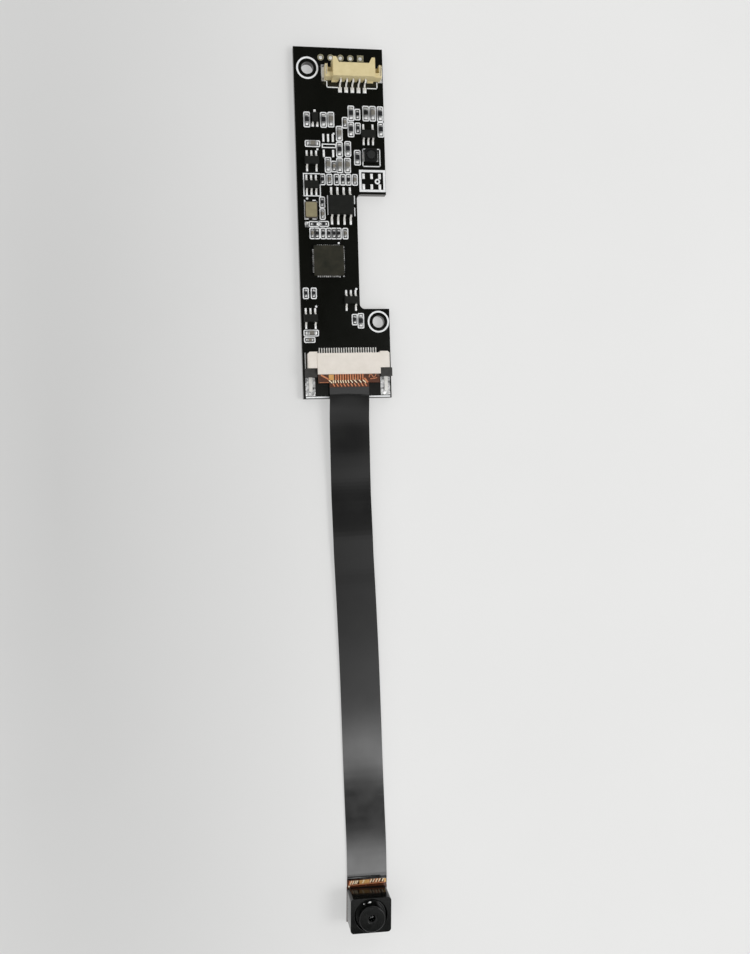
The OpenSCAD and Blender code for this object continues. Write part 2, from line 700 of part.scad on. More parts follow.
module crystal_lid() color("#c9bda6") at_upper(crystal_upper)
    rounded_block([crystal_size[0] - 0.3, crystal_size[1] - 0.3, crystal_lid_h], 0.25,
        land_t + crystal_base_h);

// ---- power inductor: a square shell round a drum with its winding

drum_r = inductor_w / 2 - 0.4;
drum_flange = 0.3;
drum_neck_r = 0.5;
inductor_z = land_t + sheet_t;

module inductor_shell() color("#3b3c40") at_upper(inductor_upper) difference() {
    rounded_block([inductor_w, inductor_w, inductor_h - sheet_t], 0.3, inductor_z);
    translate([0, 0, inductor_z - overlap]) cylinder(r = drum_r + 0.12, h = inductor_h + overlap);
}

module inductor_drum() color("#4a4b50") at_upper(inductor_upper)
    translate([0, 0, inductor_z]) rotate_extrude()
        polygon([[0, 0], [drum_r, 0], [drum_r, drum_flange], [drum_neck_r, drum_flange],
            [drum_neck_r, inductor_h - sheet_t - drum_flange], [drum_r, inductor_h - sheet_t - drum_flange],
            [drum_r, inductor_h - sheet_t], [0, inductor_h - sheet_t]]);

module inductor_winding() color("#b8703a") at_upper(inductor_upper)
    translate([0, 0, inductor_z + drum_flange]) difference() {
        cylinder(r = drum_r - 0.1, h = inductor_h - sheet_t - 2 * drum_flange);
        translate([0, 0, -overlap]) cylinder(r = drum_neck_r, h = inductor_h);
    }

module inductor_terminals() color("#d2d4d4") at_upper(inductor_upper) mirrored_x()
    translate([inductor_w / 2 - 0.35, 0, 0]) block([0.9, inductor_w * 0.7, sheet_t], land_t);

// ---------------------------------------------------------------- flexible cable

tab_end = fpc_back_y + slot_end - 0.1;     // tip of the contact end, above the board's lower edge
shoulder_y = 3.05;                         // the contact end narrows to the strip here
strip_start = strip_points[0];
tab_level = board_t + tab_z;

module on_lower_edge() translate([0, -board_l / 2, 0]) children();

// Full width in the connector, then a shoulder down to the width of the strip
module flex_tab() color("#c98a3a") on_lower_edge() translate([fpc_shift, 0, tab_level])
    linear_extrude(film_t) {
        translate([-tab_w / 2, shoulder_y]) square([tab_w, tab_end - shoulder_y]);
        translate([-strip_w / 2, strip_start[1]])
            square([strip_w, shoulder_y - strip_start[1] + overlap]);
    }

module tab_stiffener() color("#d9a54e") on_lower_edge()
    translate([fpc_shift, 0, board_t + backing_z])
        box([-tab_w / 2, shoulder_y + 0.15, 0], [tab_w / 2, tab_end, backing_t]);

// A smooth curve through the route's points
function spline(a, b, c, d, u) = 0.5 * (2 * b + (c - a) * u + (2 * a - 5 * b + 4 * c - d) * u * u
    + (3 * b - a - 3 * c + d) * u * u * u);

function route_point(p, i, u) = spline(p[max(i - 1, 0)], p[i], p[i + 1], p[min(i + 2, len(p) - 1)], u);

function smooth_route(p) = concat(
    [for (i = [0 : len(p) - 2], k = [0 : strip_steps - 1]) route_point(p, i, k / strip_steps)],
    [p[len(p) - 1]]);

// Direction of the route at a ring. The two ends point straight out of what holds them.
function heading(points, route, i) =
    i == 0 ? points[1] - points[0]
    : i == len(route) - 1 ? points[len(points) - 1] - points[len(points) - 2]
    : route[i + 1] - route[i - 1];

// Corners of the film's cross-section, square to its direction
function film_ring(centre, direction, w, t) =
    let (along = unit(direction),
         across = unit(cross(along, [0, 0, 1])),
         up = cross(across, along))
    [for (corner = [[-1, -1], [1, -1], [1, 1], [-1, 1]])
        centre + across * corner[0] * w / 2 + up * corner[1] * t / 2];

module swept_film(points, w_from, w_to, t) {
    route = smooth_route(points);
    rings = len(route);
    corners = [for (i = [0 : rings - 1]) each film_ring(route[i], heading(points, route, i),
        w_from + (w_to - w_from) * i / (rings - 1), t)];
    sides = [for (i = [0 : rings - 2], k = [0 : 3])
        [4 * i + k, 4 * i + (k + 1) % 4, 4 * (i + 1) + (k + 1) % 4, 4 * (i + 1) + k]];
    polyhedron(corners, concat([[3, 2, 1, 0]], sides,
        [[for (k = [0 : 3]) 4 * (rings - 1) + k]]), convexity = 4);
}

module flex_strip() color("#1a1a1d") on_lower_edge() swept_film(strip_points, strip_w, strip_head_w,
    film_t);

// ---------------------------------------------------------------- camera head

// Measured from the holder's middle, on the surface that the head lies on
film_level = plate_t;
base_z = film_level + film_t;              // the sensor and the holder stand on the film here
neck_l = 5.1;                              // the film's end reaches this far out of the head
cavity_wall = 0.65;
cavity_h = 1.45;
filter_size = [5.3, 5.1, 0.3];
filter_z = base_z + cavity_h;
web_z = filter_z + filter_size[2] + fit;
bore_z = web_z + 0.25;
holder_top = base_z + head_h;
barrel_top = holder_top + nose_h;
barrel_z = bore_z + 0.1;
barrel_fit = 0.02;
bore_chamfer = 0.12;

module head_plate(t) block([head_w + 2 * plate_margin, head_l + 2 * plate_margin, t]);

module head_stiffener() color("#b9babb") at_head() head_plate(plate_t);

module head_film() color("#b5782f") at_head()
    translate([0, 0, film_level]) {
        box([-strip_head_w / 2, 0, 0], [strip_head_w / 2, neck_l, film_t]);
        head_plate(film_t);
    }

module image_sensor() color("#5f6f5a") at_head() block([4.6, 4.0, 0.4], base_z);

module sensor_cover_glass() color("#9fb6b0") at_head() block([4.2, 3.6, 0.4], base_z + 0.4);

module head_capacitors() color("#9a9282") at_head()
    for (y = [-1, 1]) translate([2.75, y * 1.2, 0]) rotate(90) block([0.6, 0.3, 0.3], base_z);

module ir_filter() color("#7fd0c8") at_head() block(filter_size, filter_z);

// Square box with a chamber for the sensor, a seat for the filter from below, and a round bore above
module lens_holder() color("#1c1d1f") at_head() difference() {
    rounded_block([head_w, head_l, head_h], holder_r, base_z);
    block([head_w - 2 * cavity_wall, head_l - 2 * cavity_wall, filter_z], 0);
    block([filter_size[0] + 2 * fit, filter_size[1] + 2 * fit, web_z], 0);
    cylinder(r = 2, h = bore_z + overlap);
    translate([0, 0, bore_z]) cylinder(d = barrel_d + 2 * barrel_fit, h = holder_top);
    translate([0, 0, holder_top - bore_chamfer])
        cylinder(r1 = barrel_d / 2 + barrel_fit, r2 = barrel_d / 2 + barrel_fit + 2 * bore_chamfer,
            h = 2 * bore_chamfer);
}

// Lens seats: each step of the barrel's bore is a radius and a height
front_seat_z = barrel_top - 0.75;
middle_seat_z = front_seat_z - 0.95;
rear_seat_z = middle_seat_z - 0.75;
front_seat_r = 1.5;
middle_seat_r = 1.8;
rear_seat_r = 2.1;
front_lens_h = 0.8;
middle_lens_h = 0.6;
rear_lens_h = 0.8;
barrel_rim = 0.15;
barrel_shoulder = holder_top - 0.3;        // the barrel's full width ends below the holder's top

module lens_barrel() color("#242527") at_head() rotate_extrude()
    polygon([[rear_seat_r, barrel_z], [barrel_d / 2, barrel_z], [barrel_d / 2, barrel_shoulder - barrel_rim],
        [barrel_d / 2 - barrel_rim, barrel_shoulder], [nose_d / 2, barrel_shoulder],
        [nose_d / 2, barrel_top - barrel_rim], [nose_d / 2 - barrel_rim, barrel_top],
        [aperture_d / 2 + 0.35, barrel_top], [aperture_d / 2, barrel_top - 0.3],
        [aperture_d / 2, front_seat_z], [front_seat_r, front_seat_z],
        [front_seat_r, middle_seat_z], [middle_seat_r, middle_seat_z], [middle_seat_r, rear_seat_z],
        [rear_seat_r, rear_seat_z]]);

// A lens has a flat rim that seats in the barrel, and two domed faces inside the rim
lens_rim = 0.3;
lens_steps = 6;

function dome(r, edge, i) = let (x = edge * i / lens_steps) [x, r - sqrt(r * r - x * x)];

module lens(r, h, front_r, back_r, top) translate([0, 0, top - h]) rotate_extrude() polygon(concat(
    [for (i = [0 : lens_steps]) [dome(front_r, r - lens_rim, i)[0], h - dome(front_r, r - lens_rim, i)[1]]],
    [[r - lens_rim, h], [r, h], [r, 0], [r - lens_rim, 0]],
    [for (i = [lens_steps : -1 : 0]) dome(back_r, r - lens_rim, i)]));

module front_lens() color("#b9c8c4") at_head()
    lens(front_seat_r - fit, front_lens_h, 3.2, 6, front_seat_z);

module middle_lens() color("#b9c8c4") at_head()
    lens(middle_seat_r - fit, middle_lens_h, 7, 7, middle_seat_z);

module rear_lens() color("#b9c8c4") at_head()
    lens(rear_seat_r - fit, rear_lens_h, 8, 9, rear_seat_z);

// A black ring under the last lens keeps the stack together
spacer_t = 0.3;

module lens_spacer() color("#1b1b1d") at_head()
    translate([0, 0, rear_seat_z - rear_lens_h - spacer_t]) difference() {
        cylinder(r = rear_seat_r - fit, h = spacer_t);
        translate([0, 0, -overlap]) cylinder(r = rear_seat_r - 0.6, h = spacer_t + 2 * overlap);
    }

// ---------------------------------------------------------------- nodes

circuit_board();
plated_holes();
solder_lands();
header_housing();
header_contacts();
header_nails();
fpc_housing();
fpc_contacts();
fpc_slider();
fpc_nails();
processor_body();
processor_leads();
memory_body();
memory_leads();
interface_chip_body();
interface_chip_leads();
regulator_bodies();
regulator_leads();
transistor_body();
transistor_leads();
crystal_base();
crystal_lid();
inductor_shell();
inductor_drum();
inductor_winding();
inductor_terminals();
capacitors_large();
resistors_large();
capacitors_small();
resistors_small();
diode();
flex_tab();
tab_stiffener();
flex_strip();
head_film();
head_stiffener();
image_sensor();
sensor_cover_glass();
head_capacitors();
ir_filter();
lens_holder();
lens_barrel();
rear_lens();
middle_lens();
front_lens();
lens_spacer();
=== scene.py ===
# %% [markdown]
# # A camera module: a narrow board, a flat cable and a small camera head
#
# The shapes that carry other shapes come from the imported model. This lesson dresses them: it gives each
# one a real finish, and adds what a drawing leaves out, such as ink, solder, glue and soft edges.
# Everything is in metres. Sizes are written in millimetres and multiplied by MM.

# %% Tools and the frame
import math

import bmesh
import bpy
from mathutils import Matrix, Vector


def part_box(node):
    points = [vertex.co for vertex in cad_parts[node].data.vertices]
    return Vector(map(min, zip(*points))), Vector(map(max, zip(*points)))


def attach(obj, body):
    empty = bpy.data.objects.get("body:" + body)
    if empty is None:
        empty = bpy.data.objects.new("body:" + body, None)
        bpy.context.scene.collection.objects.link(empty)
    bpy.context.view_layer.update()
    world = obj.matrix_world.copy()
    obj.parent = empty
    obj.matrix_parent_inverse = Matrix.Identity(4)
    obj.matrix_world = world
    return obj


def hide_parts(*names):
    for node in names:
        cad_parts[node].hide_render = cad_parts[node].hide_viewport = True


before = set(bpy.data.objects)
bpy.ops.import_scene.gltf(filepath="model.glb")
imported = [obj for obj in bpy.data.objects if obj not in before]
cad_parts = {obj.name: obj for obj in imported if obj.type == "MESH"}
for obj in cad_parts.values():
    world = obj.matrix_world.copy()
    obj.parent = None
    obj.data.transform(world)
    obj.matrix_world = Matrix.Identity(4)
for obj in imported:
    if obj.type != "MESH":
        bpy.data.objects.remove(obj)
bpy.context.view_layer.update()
MM = 0.001
board_low, board_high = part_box("circuit_board")


def on_board(x, y, z=0.0):
    """A point from the board's lower left corner, z above its upper face, all in millimetres."""
    return Vector((board_low.x + x * MM, board_low.y + y * MM, board_high.z + z * MM))


# %% [markdown]
# ## The camera
#
# A small part on a table is usually looked at from almost straight above. The camera stands 20 cm up, a
# little to the left and in front of the board, so that thin walls on the left show as slivers. A longer
# lens from further away would flatten those walls to nothing, so the camera stays near.

# %% The camera
CAMERA_PLACE = Vector((-28.046, -44.802, 196.733)) * MM
CAMERA_TURN = (-0.027, -0.169, -0.029)
CAMERA_LENS = 36.67
NEAREST, FURTHEST = 0.005, 20

camera = bpy.data.objects.new("camera", bpy.data.cameras.new("camera"))
bpy.context.scene.collection.objects.link(camera)
camera.location = CAMERA_PLACE
camera.rotation_euler = CAMERA_TURN
camera.data.lens = CAMERA_LENS
camera.data.clip_start, camera.data.clip_end = NEAREST, FURTHEST
bpy.context.scene.camera = camera
print("camera lens:", CAMERA_LENS, "mm")

# %% [markdown]
# ## Colours, nodes and finishes
#
# A colour is written as it looks on a screen and is made linear by one function. `add_node` adds a node
# with its settings and links. `surface` starts every finish: a base colour that drifts to a second one
# in soft patches, a roughness that drifts with it, and a fine grain in the normal. Real mouldings, tinned
# metal and printed boards are never quite even, and this drift is what the eye reads as real. Each finish
# could be wired by hand, but one function keeps them alike, and their differences stay in one line each.

# %% Colours and nodes
def linear(hex_code):
    """An sRGB hex colour as linear red, green, blue and alpha."""
    parts = [int(hex_code[i:i + 2], 16) / 255 for i in (1, 3, 5)]
    return [c / 12.92 if c <= 0.04045 else ((c + 0.055) / 1.055) ** 2.4 for c in parts] + [1.0]


def add_node(tree, kind, inputs=(), **settings):
    """Adds one node. inputs are (socket name or number, value or another node's output)."""
    node = tree.nodes.new(kind)
    for name, value in settings.items():
        setattr(node, name, value)
    for name, value in inputs:
        if isinstance(value, bpy.types.NodeSocket):
            tree.links.new(value, node.inputs[name])
        else:
            node.inputs[name].default_value = value
    return node


def find_node(tree, kind):
    """The first node of a type that a tree already has."""
    return next(node for node in tree.nodes if node.type == kind)


print("mid grey, linear:", round(linear("#808080")[0], 3))

# %% Finishes
PATCH_LOW, PATCH_HIGH = 0.3, 0.7        # nearly all of the noise lies between these two values


def surface(name, main, second, patch, rough, rough_drift=0.08, grain=0.05, depth=0.1, **shader):
    """A finish. patch and grain are sizes in millimetres; shader holds values of the shader's sockets."""
    material = bpy.data.materials.new(name)
    material.use_nodes = True
    tree = material.node_tree
    principled = find_node(tree, "BSDF_PRINCIPLED")
    place = add_node(tree, "ShaderNodeTexCoord").outputs["Object"]
    drift = add_node(tree, "ShaderNodeTexNoise", [
        ("Vector", place), ("Scale", 1 / (patch * MM)), ("Detail", 3), ("Roughness", 0.6)])
    spread = add_node(tree, "ShaderNodeMapRange", [
        ("Value", drift.outputs["Fac"]), ("From Min", PATCH_LOW), ("From Max", PATCH_HIGH)])
    tint = add_node(tree, "ShaderNodeMix", [
        ("Factor", spread.outputs["Result"]), ("A", linear(main)), ("B", linear(second))], data_type="RGBA")
    tree.links.new(tint.outputs["Result"], principled.inputs["Base Color"])
    principled.inputs["Roughness"].default_value = rough
    if rough_drift:
        gloss = add_node(tree, "ShaderNodeMapRange", [
            ("Value", spread.outputs["Result"]),
            ("To Min", rough - rough_drift / 2), ("To Max", rough + rough_drift / 2)])
        tree.links.new(gloss.outputs["Result"], principled.inputs["Roughness"])
    if depth:
        fine = add_node(tree, "ShaderNodeTexNoise", [
            ("Vector", place), ("Scale", 1 / (grain * MM)), ("Detail", 2)])
        bump = add_node(tree, "ShaderNodeBump", [
            ("Strength", depth), ("Distance", grain * MM * 0.5), ("Height", fine.outputs["Fac"])])
        tree.links.new(bump.outputs["Normal"], principled.inputs["Normal"])
    for socket, value in shader.items():
        principled.inputs[socket.replace("_", " ")].default_value = value
    return material


def dress(material, *nodes):
    """Gives CAD nodes a finish."""
    for name in nodes:
        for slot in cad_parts[name].material_slots:
            slot.material = material
    print(f"{material.name}: {', '.join(nodes)}")


# %% [markdown]
# ## Pieces
#
# `add_piece` turns a bmesh into an object that rides on the module, and `stamp` puts a copy of one small
# shape into a larger bmesh. A hundred beads of solder could be a hundred linked objects, but stamped into
# one mesh they share one finish and stay one piece. `loose_parts` gives the boxes of the separate solids
# in a CAD node, so that ink and solder lie where the chips really are.

# %% Pieces and stamps
def add_piece(name, bm, material, replaces=(), body="module", smooth=None):
    """Makes an object of bm. smooth is the angle, in degrees, above which an edge stays sharp."""
    bmesh.ops.recalc_face_normals(bm, faces=bm.faces)
    mesh = bpy.data.meshes.new(name)
    bm.to_mesh(mesh)
    bm.free()
    mesh.materials.append(material)
    if smooth is not None:
        mesh.shade_smooth()
        mesh.set_sharp_from_angle(angle=math.radians(smooth))
    piece = bpy.data.objects.new(name, mesh)
    bpy.context.scene.collection.objects.link(piece)
    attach(piece, body)
    if smooth is not None:      # broad flat faces keep their own direction next to the small round edges
        piece.modifiers.new("even_shading", "WEIGHTED_NORMAL").keep_sharp = True
    if replaces:
        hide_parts(*replaces)
    print(f"{name}: {len(mesh.polygons)} faces")
    return piece


def stamp(target, shape, place):
    """Adds a copy of a bmesh to another, at a place that is a matrix."""
    sheet = bpy.data.meshes.new("stamp")
    shape.to_mesh(sheet)
    sheet.transform(place)
    target.from_mesh(sheet)
    bpy.data.meshes.remove(sheet)


def at(point, turn=0.0):
    """The matrix of a point and a turn about the upright axis, in degrees."""
    return Matrix.Translation(point) @ Matrix.Rotation(math.radians(turn), 4, "Z")


# %% Shapes taken from the model
SAME_POINT = 0.0005     # points of a CAD mesh that lie closer than this are one point, in millimetres
FLAT = 1                # neighbouring triangles that turn less than this lie in one face, in degrees


def merged_copy(node):
    """A CAD node's mesh with its triangles joined into whole flat faces."""
    bm = bmesh.new()
    bm.from_mesh(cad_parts[node].data)
    bmesh.ops.remove_doubles(bm, verts=bm.verts, dist=SAME_POINT * MM)
    bmesh.ops.dissolve_limit(bm, angle_limit=math.radians(FLAT), verts=bm.verts, edges=bm.edges)
    return bm


def loose_parts(node):
    """(lowest, highest) corner of each separate solid in a CAD node."""
    bm = merged_copy(node)
    left, boxes = set(bm.verts), []
    while left:
        todo, found = [left.pop()], []
        while todo:
            vert = todo.pop()
            found.append(vert.co)
            near = {edge.other_vert(vert) for edge in vert.link_edges} & left
            left -= near
            todo.extend(near)
        boxes.append((Vector(map(min, *found)), Vector(map(max, *found))))
    bm.free()
    return sorted(boxes, key=lambda b: (round(b[0].y, 5), round(b[0].x, 5)))


def soft_copy(node, radius, segments=2, angle=25):
    """A copy of a CAD node with its edges broken by a small radius, in millimetres."""
    bm = merged_copy(node)
    edges = [e for e in bm.edges if e.is_manifold and e.calc_face_angle(0) > math.radians(angle)]
    bmesh.ops.bevel(bm, geom=edges, offset=radius * MM, offset_type="OFFSET", affect="EDGES",
                    segments=segments, profile=0.5, material=-1, clamp_overlap=True)
    return bm


print("lands on the board:", len(loose_parts("solder_lands")))

# %% [markdown]
# ## The flat cable
#
# The cable is a strip of copper and polyimide film, 8 mm wide and 0.12 mm thick, with a black cover film.
# It leaves the connector flat, hangs over the board's edge and lies on the table in long, shallow waves.
# A curve with a flat profile would be quicker, but it can't arch the strip across its width. So one end
# face is extruded from ring to ring along a smooth line through the same points as the model.

# %% The flat cable's line
CABLE_WIDTHS, CABLE_THICKNESS = (8.0, 8.3), 0.12
CABLE_STEPS = 4
# x from the board's middle, y from its lower edge, z from the table, and how far the middle of the strip
# stands proud of its two edges
CABLE_POINTS = [
    (0.2, 2.2, 2.62, 0), (0.2, 1.3, 2.6, 0), (0.2, 0.5, 2.555, -0.02), (0.16, -1.5, 2.36, -0.05),
    (0.11, -3.5, 2.15, -0.05), (0.1, -5.5, 1.98, -0.03), (0.11, -8, 1.83, 0), (0.12, -11, 1.68, 0.04),
    (0.12, -14, 1.485, 0.05), (0.14, -17, 1.27, 0.04), (0.15, -20, 1.15, 0.03), (0.22, -24, 1.1, 0.03),
    (0.29, -28, 1.04, 0.04), (0.35, -31.5, 0.895, 0.06), (0.45, -35, 0.77, 0.05), (0.56, -39, 0.715, 0.05),
    (0.71, -45, 0.6, 0.04), (0.91, -55, 0.46, 0.05), (1.02, -66, 0.335, 0.05), (1.08, -75, 0.245, 0.03),
    (1.18, -84, 0.2, 0.01), (1.28, -92, 0.22, 0), (1.22, -98.17, 0.26, 0), (1.18, -99.32, 0.3, 0)]


def between(a, b, c, d, u):
    """A point on the smooth curve from b to c."""
    return 0.5 * (2 * b + (c - a) * u + (2 * a - 5 * b + 4 * c - d) * u * u
                  + (3 * b - a - 3 * c + d) * u * u * u)


def smooth_line(points, steps):
    """A smooth line through points, with that many steps in each stretch."""
    last = len(points) - 1
    line = [between(points[max(i - 1, 0)], points[i], points[i + 1], points[min(i + 2, last)], k / steps)
            for i in range(last) for k in range(steps)]
    return line + [points[-1]]


cable_points = [Vector((x * MM, board_low.y + y * MM, z * MM, crown * MM)) for x, y, z, crown in CABLE_POINTS]
cable_rings = smooth_line(cable_points, CABLE_STEPS)
cable_line = [ring.xyz for ring in cable_rings]


# %% A flat strip along a line
HALF_PARTS = 4          # steps from the middle of a strip to its edge


def ring_place(line, ends, i):
    """The matrix of a cross-section: X across the strip, Z out of its upper face."""
    if i == 0:
        along = ends[1] - ends[0]
    elif i == len(line) - 1:
        along = ends[-1] - ends[-2]
    else:
        along = line[i + 1] - line[i - 1]
    along = along.normalized()
    across = along.cross(Vector((0, 0, 1))).normalized()
    up = across.cross(along)
    return Matrix.Translation(line[i]) @ Matrix((across, along, up)).transposed().to_4x4()


def swept_strip(line, ends, widths, thickness, crowns=None):
    """A flat strip along a line, from one width to another, arched across by crowns where it has any."""
    bm = bmesh.new()
    lift, end, before = thickness * MM / 2, None, None
    for i, crown in enumerate(crowns or [0.0] * len(line)):
        place = ring_place(line, ends, i)
        half = (widths[0] + (widths[1] - widths[0]) * i / (len(line) - 1)) * MM / 2
        shares = [k / HALF_PARTS for k in range(-HALF_PARTS, HALF_PARTS + 1)]
        top = [Vector((half * share, 0, lift - crown * share ** 2)) for share in shares]
        corners = [place @ v for v in [v - Vector((0, 0, 2 * lift)) for v in top] + top[::-1]]
        if end is None:
            end = bm.faces.new([bm.verts.new(corner) for corner in corners])
        else:
            made = bmesh.ops.extrude_face_region(bm, geom=[end])["geom"]
            end = next(g for g in made if isinstance(g, bmesh.types.BMFace))
            for loop in end.loops:
                side = min(range(len(corners)), key=lambda k: (before[k] - loop.vert.co).length_squared)
                loop.vert.co = corners[side]
        before = corners
    return bm


# %% Tracks under the cover film
TRACK_PITCH = 0.33      # from track to track across the cable, in millimetres
TRACK_LIFT = 0.004      # how far a track lifts the cover film, in millimetres
TRACK_SHOW = 0.25       # how clearly the ridges show, from 0 to 1


def mark_across(piece, line):
    """Stores on every vertex how far it lies from a strip's middle line, in millimetres, as "across"."""
    values = []
    for vert in piece.data.vertices:
        near = min(range(len(line)), key=lambda i: abs(line[i].y - vert.co.y))
        values.append((vert.co.x - line[near].x) / MM)
    piece.data.attributes.new("across", "FLOAT", "POINT").data.foreach_set("value", values)


def emboss_tracks(material):
    """Copper tracks under a film lift it a little: a soft ridge along the strip for each track."""
    tree = material.node_tree
    across = add_node(tree, "ShaderNodeAttribute", attribute_name="across")
    turns = add_node(tree, "ShaderNodeMath", [
        (0, across.outputs["Fac"]), (1, 2 * math.pi / TRACK_PITCH)], operation="MULTIPLY")
    ridge = add_node(tree, "ShaderNodeMath", [(0, turns.outputs[0])], operation="SINE")
    drift = find_node(tree, "TEX_NOISE")
    uneven = add_node(tree, "ShaderNodeMath", [
        (0, ridge.outputs[0]), (1, drift.outputs["Fac"])], operation="MULTIPLY")
    bump = add_node(tree, "ShaderNodeBump", [
        ("Strength", TRACK_SHOW), ("Distance", TRACK_LIFT * MM), ("Height", uneven.outputs[0])])
    tree.links.new(bump.outputs["Normal"], find_node(tree, "BSDF_PRINCIPLED").inputs["Normal"])


# Polyimide cover film, dyed black and rolled on hot: it mirrors the room in soft bands, and is so thin
# that the tracks show through as faint ridges
cover_film = surface("black_cover_film", "#0c0c0c", "#10100f", 6, 0.08, 0.03, 0.4, 0.0, IOR=1.7)
cable = add_piece("flat_cable", swept_strip(cable_line, [p.xyz for p in cable_points], CABLE_WIDTHS,
                                            CABLE_THICKNESS, [ring.w for ring in cable_rings]),
                  cover_film, ["flex_strip"], smooth=30)
mark_across(cable, cable_line)
emboss_tracks(cover_film)

# %% [markdown]
# ## The table
#
# The module lies on a plain, pale table that darkens a little on the side away from the lamp. A lamp that
# is small enough to do that would also darken the shadows, so the colour of the table itself falls off
# instead. Part of what the eye sees of the table is its own even tone, which keeps the shadows pale and
# soft, and the rest is lit, so that the object still stands on it.

# %% The table
TABLE_REACH = 2.0                   # half the side of the table, in metres
TABLE_GAP = 0.02                    # how far the table lies below the object, in millimetres
SHADE_MIDDLE = (-0.057, -0.05)      # the darkest place of the table, in metres
SHADE_SIZE = (0.045, 0.225)         # one unit of the shade across and along the object, in metres
SHADE_END, SHADE_LEVEL = 1.5, 0.74  # where the shade has gone, in those units, and its darkest level
OWN_TONE = 0.55                     # share of the table's own even tone in what is seen of it

floor_bm = bmesh.new()
bmesh.ops.create_grid(floor_bm, x_segments=1, y_segments=1, size=TABLE_REACH)
floor_mesh = bpy.data.meshes.new("table")
floor_bm.to_mesh(floor_mesh)
floor_bm.free()
table = bpy.data.objects.new("table", floor_mesh)
bpy.context.scene.collection.objects.link(table)
table.location.z = -TABLE_GAP * MM
# Painted board, rolled on matt: no gloss at all, and a tone that hardly changes over a hand's width
table_finish = surface("pale_table", "#e5e5e4", "#e7e7e6", 60, 0.9, 0.02, 0.5, 0.0)
floor_mesh.materials.append(table_finish)
print("table side, m:", 2 * TABLE_REACH)

# %% The table's shade and tone
tree = table_finish.node_tree
lit = find_node(tree, "BSDF_PRINCIPLED")
shade_place = add_node(tree, "ShaderNodeMapping", [
    ("Vector", find_node(tree, "TEX_COORD").outputs["Object"]),
    ("Location", [-middle / size for middle, size in zip(SHADE_MIDDLE, SHADE_SIZE)] + [0]),
    ("Scale", [1 / size for size in SHADE_SIZE] + [0])])
reach = add_node(tree, "ShaderNodeVectorMath", [(0, shade_place.outputs[0])], operation="LENGTH")
fall = add_node(tree, "ShaderNodeMapRange", [
    ("Value", reach.outputs["Value"]), ("From Max", SHADE_END), ("To Min", SHADE_LEVEL), ("To Max", 1.0)])
shaded = add_node(tree, "ShaderNodeVectorMath", [
    (0, lit.inputs["Base Color"].links[0].from_socket), ("Scale", fall.outputs["Result"])], operation="SCALE")
tree.links.new(shaded.outputs[0], lit.inputs["Base Color"])
rays = add_node(tree, "ShaderNodeLightPath")
seen = add_node(tree, "ShaderNodeMath", [
    (0, rays.outputs["Is Camera Ray"]), (1, rays.outputs["Is Glossy Ray"])], operation="ADD", use_clamp=True)
seen_through = add_node(tree, "ShaderNodeMath", [
    (0, seen.outputs[0]), (1, rays.outputs["Is Transmission Ray"])], operation="MAXIMUM")
share = add_node(tree, "ShaderNodeMath", [(0, seen_through.outputs[0]), (1, OWN_TONE)], operation="MULTIPLY")
tone = add_node(tree, "ShaderNodeEmission", [("Color", shaded.outputs[0])])
mixed = add_node(tree, "ShaderNodeMixShader", [
    (0, share.outputs[0]), (1, lit.outputs["BSDF"]), (2, tone.outputs["Emission"])])
tree.links.new(mixed.outputs[0], find_node(tree, "OUTPUT_MATERIAL").inputs["Surface"])
print("table seen as its own tone:", OWN_TONE)

# %% [markdown]
# ## The light
#
# Right above the work the sky has a wide dark patch, because the camera and its stand are there: a glossy
# black board only looks black when it mirrors something dark. Towards the front come a dim ceiling and
# two rows of lamps, and the cable mirrors them as bands. Area lamps could make the same bands, but each
# would light the table too, and the world's own shader draws them all in one ramp. One soft lamp to the
# right gives the shadows their side.

# %% The sky
SKY_LEVEL = 0.88            # the sky away from the dark patch
SKY_REACH = 0.65            # how far the bands reach to the front and to the back
SKY_DARKEST = 0.03
BAND_TOP = 4.0              # the ramp's white stands for this level
BAND_MIDDLE = 0.14          # the bands' middle, to the right of straight up
BAND_SIDE, SKY_SIDE = 0.2, 0.5      # how far from it the bands begin to fade, and where they have gone
# How far a ray leans to the back (1 is level, minus is to the front), and how bright the sky is there
SKY_BANDS = [
    # the room behind, then the dark stand with one narrow gap in it
    (0.64, 0.9), (0.46, 0.04), (0.05, 0.04), (0.04, 0.8), (-0.055, 0.8), (-0.075, 0.1),
    # the dim ceiling
    (-0.12, 0.22), (-0.15, 0.4), (-0.18, 0.5), (-0.2, 0.46), (-0.22, 0.52), (-0.245, 0.75), (-0.277, 0.72),
    # the first row of lamps, and the dark behind it
    (-0.3, 1.5), (-0.316, 3.0), (-0.326, 2.6), (-0.336, 0.6), (-0.345, 0.08), (-0.358, 0.1),
    # the second row of lamps, a dark wall, and the room in front
    (-0.366, 0.5), (-0.373, 1.0), (-0.383, 4.0), (-0.395, 3.2), (-0.41, 1.9), (-0.43, 0.2),
    (-0.445, 0.05), (-0.5, 0.05), (-0.56, 0.4), (-0.64, 0.9)]

scene = bpy.context.scene
scene.view_settings.view_transform = "Standard"
sky = bpy.data.worlds.new("sky")
scene.world = sky
sky.use_nodes = True
tree = sky.node_tree
ray = add_node(tree, "ShaderNodeTexCoord").outputs["Generated"]     # in a world, the direction of the ray
way = add_node(tree, "ShaderNodeSeparateXYZ", [("Vector", ray)])
lean = add_node(tree, "ShaderNodeMapRange", [
    ("Value", way.outputs["Y"]), ("From Min", SKY_REACH), ("From Max", -SKY_REACH)])
bands = add_node(tree, "ShaderNodeValToRGB", [("Fac", lean.outputs["Result"])])
stops = bands.color_ramp.elements
while len(stops) > 1:
    stops.remove(stops[-1])
for number, (y, level) in enumerate(SKY_BANDS):
    position = (SKY_REACH - y) / (2 * SKY_REACH)
    stop = stops[0] if number == 0 else stops.new(position)
    stop.position, stop.color = position, [level / BAND_TOP] * 3 + [1]
